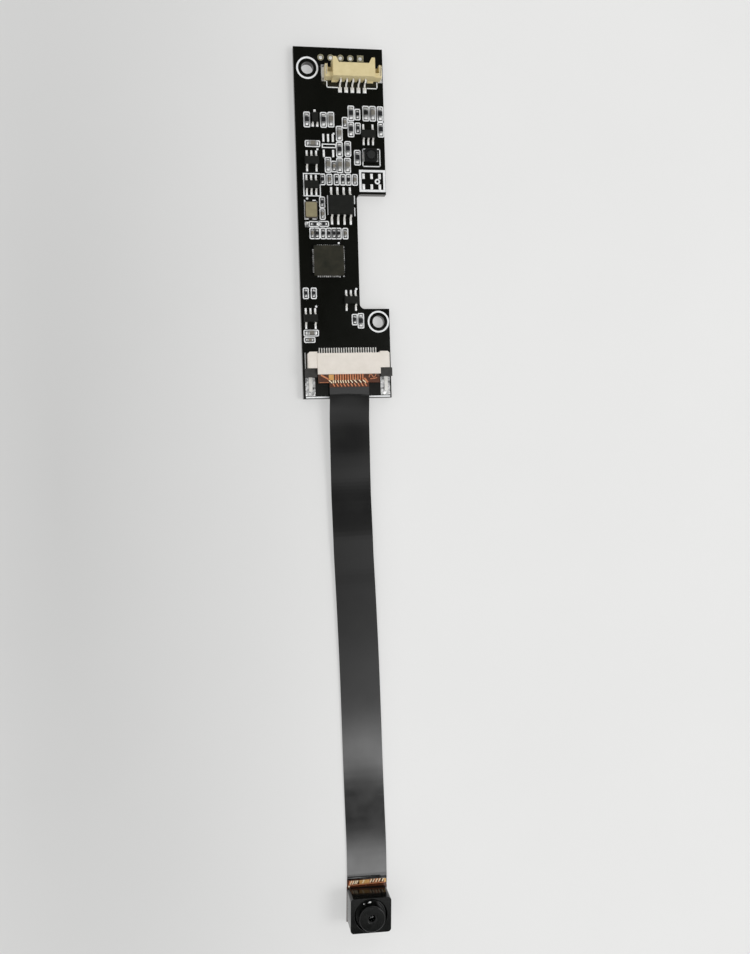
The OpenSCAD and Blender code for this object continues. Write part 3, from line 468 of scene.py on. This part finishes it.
print("sky bands:", len(stops))

# %% The sky's two sides
# The bands are brighter to the right and fade into an even sky on both sides
aside = add_node(tree, "ShaderNodeMath", [
    (0, way.outputs["X"]), (1, BAND_MIDDLE)], operation="SUBTRACT")
slant = add_node(tree, "ShaderNodeMath", [
    (0, aside.outputs[0]), (1, 2 * BAND_TOP), (2, BAND_TOP)], operation="MULTIPLY_ADD")
bright = add_node(tree, "ShaderNodeMath", [
    (0, bands.outputs["Color"]), (1, slant.outputs[0])], operation="MULTIPLY")
inside = add_node(tree, "ShaderNodeMath", [(0, bright.outputs[0]), (1, SKY_DARKEST)], operation="MAXIMUM")
away = add_node(tree, "ShaderNodeMath", [(0, aside.outputs[0])], operation="ABSOLUTE")
edge = add_node(tree, "ShaderNodeMapRange", [
    ("Value", away.outputs[0]), ("From Min", BAND_SIDE), ("From Max", SKY_SIDE)],
    interpolation_type="SMOOTHSTEP")
strength = add_node(tree, "ShaderNodeMix", [
    ("Factor", edge.outputs["Result"]), (2, inside.outputs[0]), (3, SKY_LEVEL)], data_type="FLOAT")
background = find_node(tree, "BACKGROUND")
background.inputs["Color"].default_value = linear("#ffffff")
tree.links.new(strength.outputs[0], background.inputs["Strength"])
print("even sky:", SKY_LEVEL)

# %% The lamp
LAMP_PLACE, LAMP_AIM = Vector((0.45, -0.15, 0.6)), Vector((0, -0.05, 0))
LAMP_SIZE, LAMP_POWER = 0.3, 1.9

lamp = bpy.data.objects.new("key_lamp", bpy.data.lights.new("key_lamp", "AREA"))
lamp.data.shape, lamp.data.size, lamp.data.energy = "SQUARE", LAMP_SIZE, LAMP_POWER
lamp.location = LAMP_PLACE
lamp.rotation_euler = (LAMP_AIM - LAMP_PLACE).to_track_quat("-Z", "Y").to_euler()
scene.collection.objects.link(lamp)
print("lamp power, W:", LAMP_POWER)

# %% [markdown]
# ## The board
#
# The board is glass and epoxy under a black solder mask. The mask is a glossy lacquer on both faces, and
# the sawn edge is bare laminate, brown with pale glass layers. The edge could be a second material on its
# own faces, but the board's mesh stays as the model made it, so one material does both, and picks by the
# direction of the face.

# %% The board's finish
LAYER = 0.2             # from one glass layer to the next, in millimetres
LEVEL_FACE = 0.5        # faces that look up or down by less than this share are the sawn edge

# Solder mask, printed as a liquid and cured: a near-black lacquer, with a slight orange peel in its gloss
mask = surface("black_solder_mask", "#090a06", "#0d0e0a", 9, 0.16, 0.05, 0.3, 0.012, IOR=1.5)
tree = mask.node_tree
colour = find_node(tree, "BSDF_PRINCIPLED").inputs["Base Color"]
coordinates = add_node(tree, "ShaderNodeTexCoord")
facing = add_node(tree, "ShaderNodeSeparateXYZ", [("Vector", coordinates.outputs["Normal"])])
flat = add_node(tree, "ShaderNodeMath", [(0, facing.outputs["Z"])], operation="ABSOLUTE")
edge = add_node(tree, "ShaderNodeMath", [(0, flat.outputs[0]), (1, LEVEL_FACE)], operation="LESS_THAN")
height = add_node(tree, "ShaderNodeSeparateXYZ", [("Vector", coordinates.outputs["Object"])])
layer = add_node(tree, "ShaderNodeMath", [
    (0, height.outputs["Z"]), (1, 2 * math.pi / (LAYER * MM))], operation="MULTIPLY")
wave = add_node(tree, "ShaderNodeMath", [(0, layer.outputs[0])], operation="SINE")
laminate = add_node(tree, "ShaderNodeMix", [
    ("Factor", wave.outputs[0]), ("A", linear("#1d1a12")), ("B", linear("#2b2619"))], data_type="RGBA")
both = add_node(tree, "ShaderNodeMix", [
    ("Factor", edge.outputs[0]), ("A", colour.links[0].from_socket), ("B", laminate.outputs["Result"])],
    data_type="RGBA")
tree.links.new(both.outputs["Result"], colour)
dress(mask, "circuit_board")

# %% [markdown]
# ## Metals
#
# Every metal here is a thin skin on something else: tin on copper, gold on nickel, nickel on a lid. The
# skins could all be one bright metal, but tin that has melted is closer to white paint than to a mirror,
# because it freezes in small lumps that throw the light about. So the tins are only partly metallic. The
# lumps and the mottling are drawn 0.2 to 0.5 mm wide, coarser than the real grain, so that they show.

# %% Metals
# Solder that has melted in an oven: white, rounded, with small glints
tin = surface("reflowed_tin", "#ecedec", "#fdfdfc", 0.4, 0.36, 0.16, 0.25, 0.4, Metallic=0.3)
# The ends of a chip are dipped in silver and plated with tin: a dull grey metal
terminal_tin = surface("plated_chip_end", "#8d8e8e", "#adaead", 0.5, 0.34, 0.1, 0.2, 0.3, Metallic=0.9)
# A land that was levelled with hot air: thin tin, bright where it is thick and grey where copper is near
thin_tin = surface("thin_tin_on_copper", "#5e5f5f", "#f6f6f5", 0.9, 0.3, 0.16, 0.5, 0.6, Metallic=0.6)
# Plated holes: gold washed over nickel, dull and greenish rather than yellow
gold = surface("gold_on_nickel", "#a8a283", "#8b8770", 0.5, 0.4, 0.1, 0.3, 0.6, Metallic=0.6)
# Lead frames and nails are stamped bronze, plated with matt tin: a warm, even white
bronze = surface("tinned_bronze", "#f0efeb", "#dcdad4", 0.8, 0.36, 0.1, 0.2, 0.15, Metallic=0.4)
# The crystal's lid is drawn and plated with nickel: straw-coloured, softly mirroring
lid_plate = surface("nickel_lid", "#b5ab88", "#9a9173", 2.2, 0.36, 0.08, 0.1, 0.1, Metallic=0.6)
# The plate under the camera head is stamped from stainless sheet: an even, cool grey
steel = surface("stamped_steel", "#a3a4a6", "#8e9092", 2, 0.34, 0.1, 0.15, 0.15, Metallic=1.0)
# Winding wire is copper under clear enamel: a deep orange with a wet gloss
copper = surface("enamelled_copper", "#b26a38", "#8a4a24", 0.5, 0.3, 0.1, 0.1, 0.2, Metallic=0.8)
dress(thin_tin, "solder_lands")
dress(gold, "plated_holes")
dress(bronze, "header_contacts", "header_nails", "fpc_contacts", "fpc_nails", "memory_leads",
      "interface_chip_leads", "regulator_leads", "transistor_leads", "inductor_terminals", "processor_leads")
dress(lid_plate, "crystal_lid")
dress(steel, "head_stiffener")
dress(copper, "inductor_winding")

# %% [markdown]
# ## Mouldings
#
# Connector housings and chip packages are moulded from plastics full of glass or sand, which leave a dull
# face. A tinted gloss would look like toy plastic, so these are rough, with a grain of about 0.1 mm. The
# real grit is finer, and would not show. The packages reflect less than a clear plastic would, because
# their skin is broken up by the grit, so their specular level is low.

# %% Mouldings
# Nylon of the wire header: cream, a little yellower where it is thick
cream = surface("cream_nylon", "#d8c99b", "#cfbf8f", 1.5, 0.5, 0.1, 0.12, 0.12)
# Liquid crystal polymer of the cable connector: ivory, with cloudy flow marks
ivory = surface("ivory_polymer", "#e2dbd2", "#dad3c9", 1.5, 0.48, 0.1, 0.12, 0.12)
# The connector's slider: black, but dusty grey in the light
black_polymer = surface("black_glass_filled_polymer", "#2d2c2a", "#3b3a38", 0.8, 0.5, 0.1, 0.1, 0.2,
                        Specular_IOR_Level=0.3)
# Chip packages are epoxy filled with sand: matt black
epoxy = surface("black_epoxy", "#121310", "#191a17", 0.6, 0.55, 0.1, 0.06, 0.3, Specular_IOR_Level=0.15)
# The large package is black epoxy, with broad lighter olive patches painted on it as a sheen
epoxy_with_painted_sheen = surface("epoxy_with_painted_sheen", "#1f2019", "#333127", 2.5, 0.5, 0.1, 0.06, 0.3, Specular_IOR_Level=0.15)
# The crystal's base is fired alumina, stained brown
ceramic = surface("brown_ceramic", "#3b332b", "#4a4138", 0.5, 0.5, 0.1, 0.08, 0.2)
# The inductor is pressed and fired iron oxide: its shell is a sooty black, and its ground drum is greyer
ferrite = surface("grey_ferrite", "#0c0d0c", "#131413", 0.4, 0.55, 0.1, 0.06, 0.4, Specular_IOR_Level=0.15)
ground_ferrite = surface("ground_ferrite", "#212221", "#191a19", 0.5, 0.5, 0.1, 0.06, 0.3,
                         Specular_IOR_Level=0.3)
dress(epoxy, "interface_chip_body", "regulator_bodies", "transistor_body")
dress(ceramic, "crystal_base")
dress(ground_ferrite, "inductor_drum")

# %% [markdown]
# ## Housings with broken edges
#
# No moulding has a truly sharp edge: even a tenth of a millimetre of round catches the light, and the eye
# takes it for the size of the thing. A bevel modifier could do it, but it would work on the model's loose
# triangles. So each housing is a merged copy of its node with its edges bevelled, and replaces the node.

# %% Housings with broken edges
# Piece, node, radius of its edges in millimetres, finish, slot and body
for name, node, radius, material, slot, body in (
        ("header_shell", "header_housing", 0.06, cream, "cream_moulding", "module"),
        ("cable_socket", "fpc_housing", 0.03, ivory, "ivory_moulding", "module"),
        ("latch_slider", "fpc_slider", 0.05, black_polymer, "black_moulding", "slider"),
        ("memory_package", "memory_body", 0.06, epoxy, "mould_compound", "module"),
        ("processor_package", "processor_body", 0.05, epoxy_with_painted_sheen, "processor_compound", "module"),
        ("inductor_case", "inductor_shell", 0.08, ferrite, "ferrite", "module")):
    add_piece(name, soft_copy(node, radius), material, [node], body, smooth=50)

# %% [markdown]
# ## Chips and their solder
#
# A chip capacitor is a brown-grey block of fired ceramic, and a chip resistor is a white wafer with a
# black glaze. Both have tinned ends, and each end sits in a concave fillet of solder that runs out to the
# edge of its land. A plain block with painted ends would do from far away, but the rounded ends and the
# fillets are what catches the light here. So each chip of the model is taken apart into a body, two ends
# and two fillets, and the ends and fillets of all chips are gathered in two shared pieces.

# %% Chip shapes
def block(size, radius, segments=2):
    """A box that stands on z 0, with its edges rounded. Sizes in millimetres."""
    bm = bmesh.new()
    bmesh.ops.create_cube(bm, size=1.0)
    bmesh.ops.translate(bm, vec=(0, 0, 0.5), verts=bm.verts)
    bmesh.ops.scale(bm, vec=[s * MM for s in size], verts=bm.verts)
    bmesh.ops.bevel(bm, geom=bm.edges[:], offset=radius * MM, offset_type="OFFSET", affect="EDGES",
                    segments=segments, profile=0.5, material=-1, clamp_overlap=True)
    return bm


def fillet(reach, width, height):
    """Solder at the end of a chip: a concave slope from x 0 outwards. Sizes in millimetres."""
    bm = bmesh.new()
    slope = [(0, 0), (reach, 0), (reach, 0.04 * height), (reach * 0.55, 0.14 * height),
             (reach * 0.24, 0.38 * height), (reach * 0.06, 0.72 * height), (0, 0.95 * height)]
    face = bm.faces.new([bm.verts.new((x * MM, -width * MM / 2, z * MM)) for x, z in slope])
    made = bmesh.ops.extrude_face_region(bm, geom=[face])["geom"]
    far_side = [g for g in made if isinstance(g, bmesh.types.BMVert)]
    bmesh.ops.translate(bm, vec=(0, width * MM, 0), verts=far_side)
    return bm


sample = block((1, 1, 1), 0.1)
print("faces of a block:", len(sample.faces))
sample.free()

# %% Taking a chip apart
CHIP_END = 0.22                 # length of the metal end, as a share of the chip
BODY_SHARES = (1 - 0.9 * CHIP_END, 0.96, 0.97)      # the body, which runs a little way into its ends
BODY_EDGE, END_EDGE = 0.03, 0.06                    # radius of their edges, in millimetres
# The solder at each end, as shares of the chip's length, width and height, and where it starts along it
FILLET_REACH, FILLET_WIDTH, FILLET_HEIGHT = 0.34 / 1.6, 0.62, 0.9
FILLET_START = 0.495


def lies_across(low, high):
    """Whether a box is longer in Y than in X."""
    return high.y - low.y > high.x - low.x


def add_chips(name, node, material):
    """Replaces a CAD node of chips by bodies of their own. Their ends and solder go to shared pieces."""
    bodies = bmesh.new()
    for low, high in loose_parts(node):
        size = (high - low) / MM
        length, width = max(size.x, size.y), min(size.x, size.y)
        foot = Vector(((low.x + high.x) / 2, (low.y + high.y) / 2, low.z))
        place = at(foot, 90 if lies_across(low, high) else 0)
        body_size = [side * share for side, share in zip((length, width, size.z), BODY_SHARES)]
        body = block(body_size, BODY_EDGE, 1)
        stamp(bodies, body, place)
        end = block((length * CHIP_END, width, size.z), END_EDGE)
        solder = fillet(FILLET_REACH * length, width * FILLET_WIDTH, size.z * FILLET_HEIGHT)
        for side in (0, 180):
            turned = place @ Matrix.Rotation(math.radians(side), 4, "Z")
            stamp(chip_ends, end, turned @ Matrix.Translation((length * MM * (0.5 - CHIP_END / 2), 0, 0)))
            stamp(fillets, solder, turned @ Matrix.Translation((length * MM * FILLET_START, 0, 0)))
        for shape in (body, end, solder):
            shape.free()
    add_piece(name, bodies, material, [node], smooth=40)


# %% The chips
# Capacitors are fired barium titanate: a chalky brown-grey, which differs from one batch to the next
capacitor_body = surface("fired_titanate", "#77736a", "#67645c", 0.5, 0.45, 0.1, 0.1, 0.15)
small_capacitor_body = surface("pale_titanate", "#7d776b", "#6c675d", 0.4, 0.45, 0.1, 0.1, 0.15)
# Resistors have a printed glass glaze: black and smoother than the packages
glaze = surface("black_glaze", "#17181a", "#1f2022", 0.5, 0.3, 0.08, 0.1, 0.05)
chip_ends, fillets = bmesh.new(), bmesh.new()
add_chips("large_capacitors", "capacitors_large", capacitor_body)
add_chips("small_capacitors", "capacitors_small", small_capacitor_body)
add_chips("large_resistors", "resistors_large", glaze)
add_chips("small_resistors", "resistors_small", glaze)
add_chips("glass_diode", "diode", epoxy)
add_piece("chip_terminals", chip_ends, terminal_tin, smooth=40)
add_piece("chip_fillets", fillets, tin, smooth=40)

# %% [markdown]
# ## Solder on the lead lands
#
# Where a lead stands on its land, solder rises round it in a low bead with round edges. Metaballs would
# flow more like the real thing, but they melt neighbouring lands together. A rounded block on each land
# keeps them apart, and the land's own box says how large it is. Wide lands hold nails and coils, and stay
# bare. The unused plated holes have filled with solder almost to the top.

# %% Which lands get a bead
# In millimetres, apart from LEAST_LENGTH, which is a land's length as a share of its width
WIDEST_LAND, LEAST_LENGTH = 0.78, 1.2       # wider or squarer lands than this hold no lead
PROCESSOR_LAND, CONNECTOR_LAND = 0.22, 0.3  # lands narrower than this are the processor's or the connector's
PROCESSOR_BEAD, BEAD_OUT = (0.28, 0.24), 0.3
processor_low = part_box("processor_body")[0]


def bead_on(low, high):
    """Middle and size of the bead on a land, or None where it has none. The size is in millimetres."""
    size, middle = (high - low) / MM, (low + high) / 2
    narrow, longer = sorted((size.x, size.y))
    if narrow > WIDEST_LAND or longer < LEAST_LENGTH * narrow:
        return None
    if narrow < PROCESSOR_LAND:     # solder stands out past the left and the front side of the package
        on_its_side = size.x > size.y
        hidden = middle.x > processor_low.x if on_its_side else middle.y > processor_low.y
        if hidden:
            return None
        middle += Vector((-1, 0, 0) if on_its_side else (0, -1, 0)) * BEAD_OUT * MM
        size = Vector((*(PROCESSOR_BEAD if on_its_side else PROCESSOR_BEAD[::-1]), 0))
    elif narrow < CONNECTOR_LAND:
        size.x *= 0.85              # the connector's tails stand in narrow, tall beads
    return middle, size, narrow


# %% Solder on the lead lands
BEAD_SHARE = 0.94               # a bead's length and width, as a share of its land
BEAD_EDGE, BEAD_HEIGHT, BEAD_SINK = 0.15, 0.16, 0.03
BEAD_SLOPE = 0.6                # a narrow bead is this much as high as its land is wide
# A plug's lower and upper radius, its height, and its middle above the middle of the hole
PLUG_RADII, PLUG_HEIGHT, PLUG_RISE = (0.44, 0.36), 0.3, 0.55

beads = bmesh.new()
for low, high in loose_parts("solder_lands"):
    found = bead_on(low, high)
    if not found:
        continue
    middle, size, narrow = found
    tall = min(BEAD_HEIGHT, BEAD_SLOPE * narrow)
    bead = block((size.x * BEAD_SHARE, size.y * BEAD_SHARE, tall), min(BEAD_EDGE, 0.95 * tall), 3)
    stamp(beads, bead, at(Vector((middle.x, middle.y, high.z - BEAD_SINK * MM))))
    bead.free()
for low, high in loose_parts("plated_holes"):
    plug = bmesh.new()
    bmesh.ops.create_cone(plug, cap_ends=True, segments=24, radius1=PLUG_RADII[0] * MM,
                          radius2=PLUG_RADII[1] * MM, depth=PLUG_HEIGHT * MM)
    stamp(beads, plug, at((low + high) / 2 + Vector((0, 0, PLUG_RISE * MM))))
    plug.free()
add_piece("solder_beads", beads, tin, smooth=40)

# %% [markdown]
# ## Ink
#
# The legend is white epoxy ink, printed through a screen. It could be a pattern in the board's colour,
# but ink has a thickness: it stands 0.02 mm proud and stays white where the lacquer mirrors the dark. So
# it is a mesh of flat shapes. Outlines round the chips follow the chips of the model, and the rest is
# placed from the board's lower left corner. Most thin lines are drawn 0.2 mm wide, coarser than the real
# 0.15 mm, so that they show.

# %% Ink shapes
INK_HEIGHT = 0.02


def print_ink(bm, line):
    """Turns flat faces into ink: only their rim where line gives its width, and as thick as ink lies."""
    bm.normal_update()
    if line:
        made = bmesh.ops.inset_individual(bm, faces=bm.faces[:], thickness=line * MM, use_even_offset=True)
        inner = [face for face in bm.faces if face not in made["faces"]]
        bmesh.ops.delete(bm, geom=inner, context="FACES")
        bm.normal_update()
    bmesh.ops.solidify(bm, geom=bm.faces[:], thickness=-INK_HEIGHT * MM)
    return bm


def plate(width, length, radius=0.0, line=None):
    """A rectangle of ink with round corners, or only its rim. In millimetres."""
    bm = bmesh.new()
    half_x, half_y = width * MM / 2, length * MM / 2
    corners = [(-half_x, -half_y, 0), (half_x, -half_y, 0), (half_x, half_y, 0), (-half_x, half_y, 0)]
    bm.faces.new([bm.verts.new(c) for c in corners])
    if radius:
        bmesh.ops.bevel(bm, geom=bm.verts[:], offset=radius * MM, offset_type="OFFSET", affect="VERTICES",
                        segments=4, profile=0.5, material=-1)
    return print_ink(bm, line)


def disc(radius, line=None, segments=32):
    """A round dot of ink, or only its rim. In millimetres."""
    bm = bmesh.new()
    bmesh.ops.create_circle(bm, cap_ends=True, radius=radius * MM, segments=segments)
    return print_ink(bm, line)


def put(target, shape, place):
    """Stamps a shape at a place that is a matrix, and frees it."""
    stamp(target, shape, place)
    shape.free()


print("ink height, mm:", INK_HEIGHT)

# %% Outlines round the chips
LARGE_OUTLINE, SMALL_OUTLINE = (3.1, 1.35), (2.3, 1.2)      # length and width, in millimetres
OUTLINE_CORNER, OUTLINE_LINE = 0.3, 0.22

legend = bmesh.new()
for node, outline in (("capacitors_large", LARGE_OUTLINE), ("resistors_large", LARGE_OUTLINE),
                      ("diode", LARGE_OUTLINE), ("capacitors_small", SMALL_OUTLINE),
                      ("resistors_small", SMALL_OUTLINE)):
    for low, high in loose_parts(node):
        middle = (low + high) / 2
        middle.z = board_high.z
        turn = 90 if lies_across(low, high) else 0
        put(legend, plate(*outline, OUTLINE_CORNER, OUTLINE_LINE), at(middle, turn))
print("outlines:", len(legend.verts), "points")

# %% The rest of the legend
# All in millimetres from the board's lower left corner
HOLE_RINGS = [(2.75, 65.85), (15.7, 15.4)]
PIN_DOTS = [(1.95, 40.0), (4.3, 49.8), (7.65, 52.95), (3.1, 18.5), (11.35, 22.0), (8.9, 30.35), (8.05, 31.2)]
# x and y of two opposite corners, and the width of the line
FRAMES = [(12.6, 41.5, 17.95, 45.9, 0.45), (1.25, 40.45, 4.75, 45.05, 0.2), (5.2, 50.1, 8.1, 50.95, 0.2)]
BARS = [
    # round the inductor
    (13.35, 46.5, 13.55, 50.15), (16.85, 46.5, 17.05, 50.15), (13.35, 46.5, 17.05, 46.7),
    (13.35, 49.95, 14.0, 50.15), (16.1, 49.95, 17.05, 50.15),
    # beside the memory, the crystal and the small chips
    (5.95, 36.8, 6.15, 40.7), (11.4, 39.0, 11.6, 40.7), (11.4, 36.6, 11.6, 38.3), (1.3, 36.0, 1.55, 39.7),
    (1.3, 35.85, 2.15, 36.05), (2.9, 35.85, 3.7, 36.05), (3.0, 39.55, 3.7, 39.75), (8.8, 24.5, 9.0, 25.0),
    # under the wire header
    (6.5, 62.05, 6.7, 63.4), (16.65, 62.05, 16.85, 63.4), (6.5, 62.05, 8.8, 62.25),
    (14.7, 62.05, 16.85, 62.25),
    # round the cable connector
    (0.5, 0.15, 5.2, 0.45), (13.3, 0.15, 17.7, 0.45), (0.5, 6.0, 0.62, 9.3)]

for x, y in HOLE_RINGS:
    put(legend, disc(2.2, 0.35, segments=64), at(on_board(x, y)))
put(legend, disc(0.55, 0.3), at(on_board(16.3, 43.6)))
for x, y in PIN_DOTS:
    put(legend, disc(0.22), at(on_board(x, y)))
for x0, y0, x1, y1, line in FRAMES + [(*bar, None) for bar in BARS]:
    put(legend, plate(x1 - x0, y1 - y0, line=line), at(on_board((x0 + x1) / 2, (y0 + y1) / 2)))
# Screen ink: a slightly grey, matt white, thinner at some places than at others
ink = surface("white_epoxy_ink", "#eceded", "#dcdedf", 0.7, 0.6, 0.1, 0.15, 0.2)
add_piece("legend_ink", legend, ink)

# %% [markdown]
# ## The cable's bare ends
#
# In front of the connector the cable is bare amber polyimide, and its copper tracks show through as
# pinkish stripes on brown. Just before the cover film they are gold plated, and their row of glinting
# dashes is a painted highlight: the gold is coloured nearly white. Stripes in the film's colour would be
# simpler, but gold that stands proud of the film has edges of its own. A track is the same swept strip
# as the cable, only narrow, and lies just on the film.

# %% Tracks
# A track's thickness, its middle above the film, and how much higher gold lies, in millimetres
TRACK_THICKNESS, TRACK_RISE, GOLD_RISE = 0.012, 0.004, 0.01
TAB_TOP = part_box("flex_tab")[1].z / MM + TRACK_RISE
FILM_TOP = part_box("head_film")[1].z / MM + TRACK_RISE


def track(target, points, width, level):
    """A flat track through points on the board's grid, at a height above the table. In millimetres."""
    line = [Vector((board_low.x + x * MM, board_low.y + y * MM, level * MM)) for x, y in points]
    put(target, swept_strip(line, line, (width, width), TRACK_THICKNESS), Matrix.Identity(4))


print("film tops, mm:", round(TAB_TOP, 3), round(FILM_TOP, 3))

# %% Finishes of the film and its tracks
# Bare polyimide over copper: a dark, clear amber, glossy like varnish
amber = surface("amber_polyimide", "#54280f", "#45281a", 1.6, 0.25, 0.1, 0.1, 0.05, IOR=1.7)
# The backing is thick polyimide without copper, so light comes through it as honey
backing = surface("amber_backing", "#b98a3d", "#a87a32", 1.0, 0.35, 0.1, 0.1, 0.05, IOR=1.7)
# Copper seen through the film turns salmon pink
track_copper = surface("copper_under_film", "#d8946c", "#b8663a", 0.5, 0.3, 0.1, 0.1, 0.1)
# Gold on a narrow track, coloured nearly white as a painted glint, yellower in random patches
painted_glint_gold = surface("gold_track_painted_glint", "#fff2dc", "#f3d9a6", 0.3, 0.3, 0.1, 0.1, 0.2, Metallic=0.2)
# A broad gold patch keeps the gold's own yellow, without the painted glint of the narrow tracks
patch_gold = surface("gold_patch", "#e6bd80", "#d39a50", 0.5, 0.3, 0.1, 0.1, 0.1, Metallic=0.2)
dress(amber, "flex_tab", "head_film")
dress(backing, "tab_stiffener")

# %% The contact end's tracks
copper_tracks, gold_tracks_painted_glint, gold_patches = bmesh.new(), bmesh.new(), bmesh.new()
for number in range(12):        # straight out of the slot, as far apart as the contacts
    x = 6.5 + 0.5 * number
    track(copper_tracks, [(x, 4.8), (x, 3.62)], 0.24, TAB_TOP)
# Copper on both sides of them: a branch on the left, and a loop and two short pieces on the right
for points, width in (([(3.5, 4.7), (4.9, 3.9), (5.35, 3.5)], 0.28), ([(12.3, 4.0), (13.0, 3.1)], 0.35),
                      ([(13.3, 4.1), (13.35, 4.6), (13.8, 4.7), (14.0, 4.3), (14.2, 4.1), (14.5, 4.3),
                        (14.7, 4.7)], 0.14),
                      ([(13.5, 3.8), (14.1, 3.85), (14.9, 4.0)], 0.14), ([(3.2, 3.2), (5.0, 3.2)], 0.08)):
    track(copper_tracks, points, width, TAB_TOP)
for number in range(10):        # slanting in under the cover film
    x = 5.9 + 0.72 * number
    track(copper_tracks, [(x, 2.95), (x + 0.35, 2.35)], 0.2, TAB_TOP)
# Where each gold dash, with its painted glint, starts and ends across the film
for x0, x1 in ((5.1, 5.75), (5.95, 6.05), (6.35, 6.45), (6.9, 7.05), (7.4, 7.6), (7.9, 8.05), (8.4, 8.6),
               (8.95, 9.15), (9.5, 9.9), (10.2, 10.8), (11.2, 11.7), (12.0, 12.6)):
    track(gold_tracks_painted_glint, [(x0, 3.62), (x1, 3.05)], 0.2, TAB_TOP + GOLD_RISE)
track(gold_patches, [(5.1, 4.2), (6.1, 4.2)], 1.1, TAB_TOP)

# %% The head end's tracks
# At the head the film is bare again for a millimetre in front of the holder; its gold tracks carry a painted
# glint
track(gold_patches, [(8.6, -99.85), (10.7, -99.85)], 0.75, FILM_TOP)
track(gold_patches, [(13.75, -99.9), (14.2, -99.9)], 0.8, FILM_TOP)
for x in (7.0, 7.5, 7.95, 8.3, 9.6, 11.2, 11.75, 12.4, 13.0, 13.7):
    track(gold_tracks_painted_glint, [(x, -99.45), (x - 0.35, -100.15)], 0.24, FILM_TOP + GOLD_RISE)
for x in (6.7, 7.3, 11.0, 12.1, 12.8):
    track(copper_tracks, [(x, -99.45), (x - 0.3, -100.4)], 0.3, FILM_TOP)
# A short gold dash at the film's left corner, coloured nearly white as a painted glint
track(gold_tracks_painted_glint, [(6.25, -100.5), (6.55, -100.6)], 0.3, FILM_TOP + GOLD_RISE)
track(copper_tracks, [(6.5, -100.35), (14.0, -100.35)], 0.15, FILM_TOP)
add_piece("copper_tracks", copper_tracks, track_copper)
add_piece("gold_tracks_painted_glint", gold_tracks_painted_glint, painted_glint_gold)
add_piece("gold_patches", gold_patches, patch_gold)

# %% [markdown]
# ## The camera head
#
# A glossy black holder stands on the end of the cable. The barrel with the lenses is glued into it, and
# its round nose stands a little proud. The nose could be turned anew as a lathe profile, but the model
# already has it, so holder and barrel are copies with soft edges, like the other mouldings.

# %% The camera head
# Black polycarbonate from a polished mould: nearly a mirror, and darker than any other black here
holder_black = surface("black_polycarbonate", "#0a0b0a", "#0f100f", 1.2, 0.13, 0.04, 0.12, 0.02,
                       Specular_IOR_Level=0.25)
# Lens glass has a coating that cuts its reflection, so its index is set lower than the real 1.5
glass = surface("lens_glass", "#e8f0ee", "#dfe8e6", 5, 0.05, 0.0, 1, 0.0, IOR=1.35, Transmission_Weight=1.0)
# The filter lets no deep red through: clear glass with a blue-green cast
filter_glass = surface("infrared_filter", "#9fe0da", "#94d8d2", 5, 0.05, 0.0, 1, 0.0, IOR=1.52,
                       Transmission_Weight=1.0)
# Polished silicon under tiny colour filters: dark, with a green and violet shimmer
silicon = surface("sensor_silicon", "#39463b", "#4a3f52", 0.8, 0.15, 0.05, 0.1, 0.05)
dress(glass, "front_lens", "middle_lens", "rear_lens", "sensor_cover_glass")
dress(filter_glass, "ir_filter")
dress(silicon, "image_sensor")
dress(capacitor_body, "head_capacitors")
dress(black_polymer, "lens_spacer")
add_piece("holder_shell", soft_copy("lens_holder", 0.12), holder_black,
          ["lens_holder"], smooth=40)
add_piece("barrel_shell", soft_copy("lens_barrel", 0.05, angle=35), holder_black,
          ["lens_barrel"], smooth=30)

# %% [markdown]
# ## Drops of glue
#
# Once the lens is in focus, drops of clear glue lock the barrel. They have set in the groove behind the
# nose. Their shape is whatever surface tension gives, so a flattened ball on its side is close enough.

# %% Drops of glue
# x and y from the board's lower left corner, and half the length and width, in millimetres
DROPS = [(9.87, -101.76, 0.27, 0.22), (9.58, -101.86, 0.15, 0.12), (8.62, -101.95, 0.14, 0.1)]
DROP_HEIGHT, DROP_TURN = 0.16, 20
GROOVE_DEPTH = 0.1

# Clear acrylic glue with a wet gloss, coloured nearly white and a little greyer in random patches: a painted
# glint on each drop
glue = surface("glue_with_painted_glint", "#f4f5f3", "#e6e8e6", 0.4, 0.12, 0.04, 0.1, 0.05)
drops = bmesh.new()
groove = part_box("lens_holder")[1].z - GROOVE_DEPTH * MM
for x, y, long, wide in DROPS:
    drop = bmesh.new()
    bmesh.ops.create_uvsphere(drop, u_segments=20, v_segments=12, radius=MM)
    bmesh.ops.scale(drop, vec=(long, wide, DROP_HEIGHT), verts=drop.verts)
    put(drops, drop, at(Vector((board_low.x + x * MM, board_low.y + y * MM, groove)), DROP_TURN))
add_piece("glue_drops", drops, glue, smooth=60)
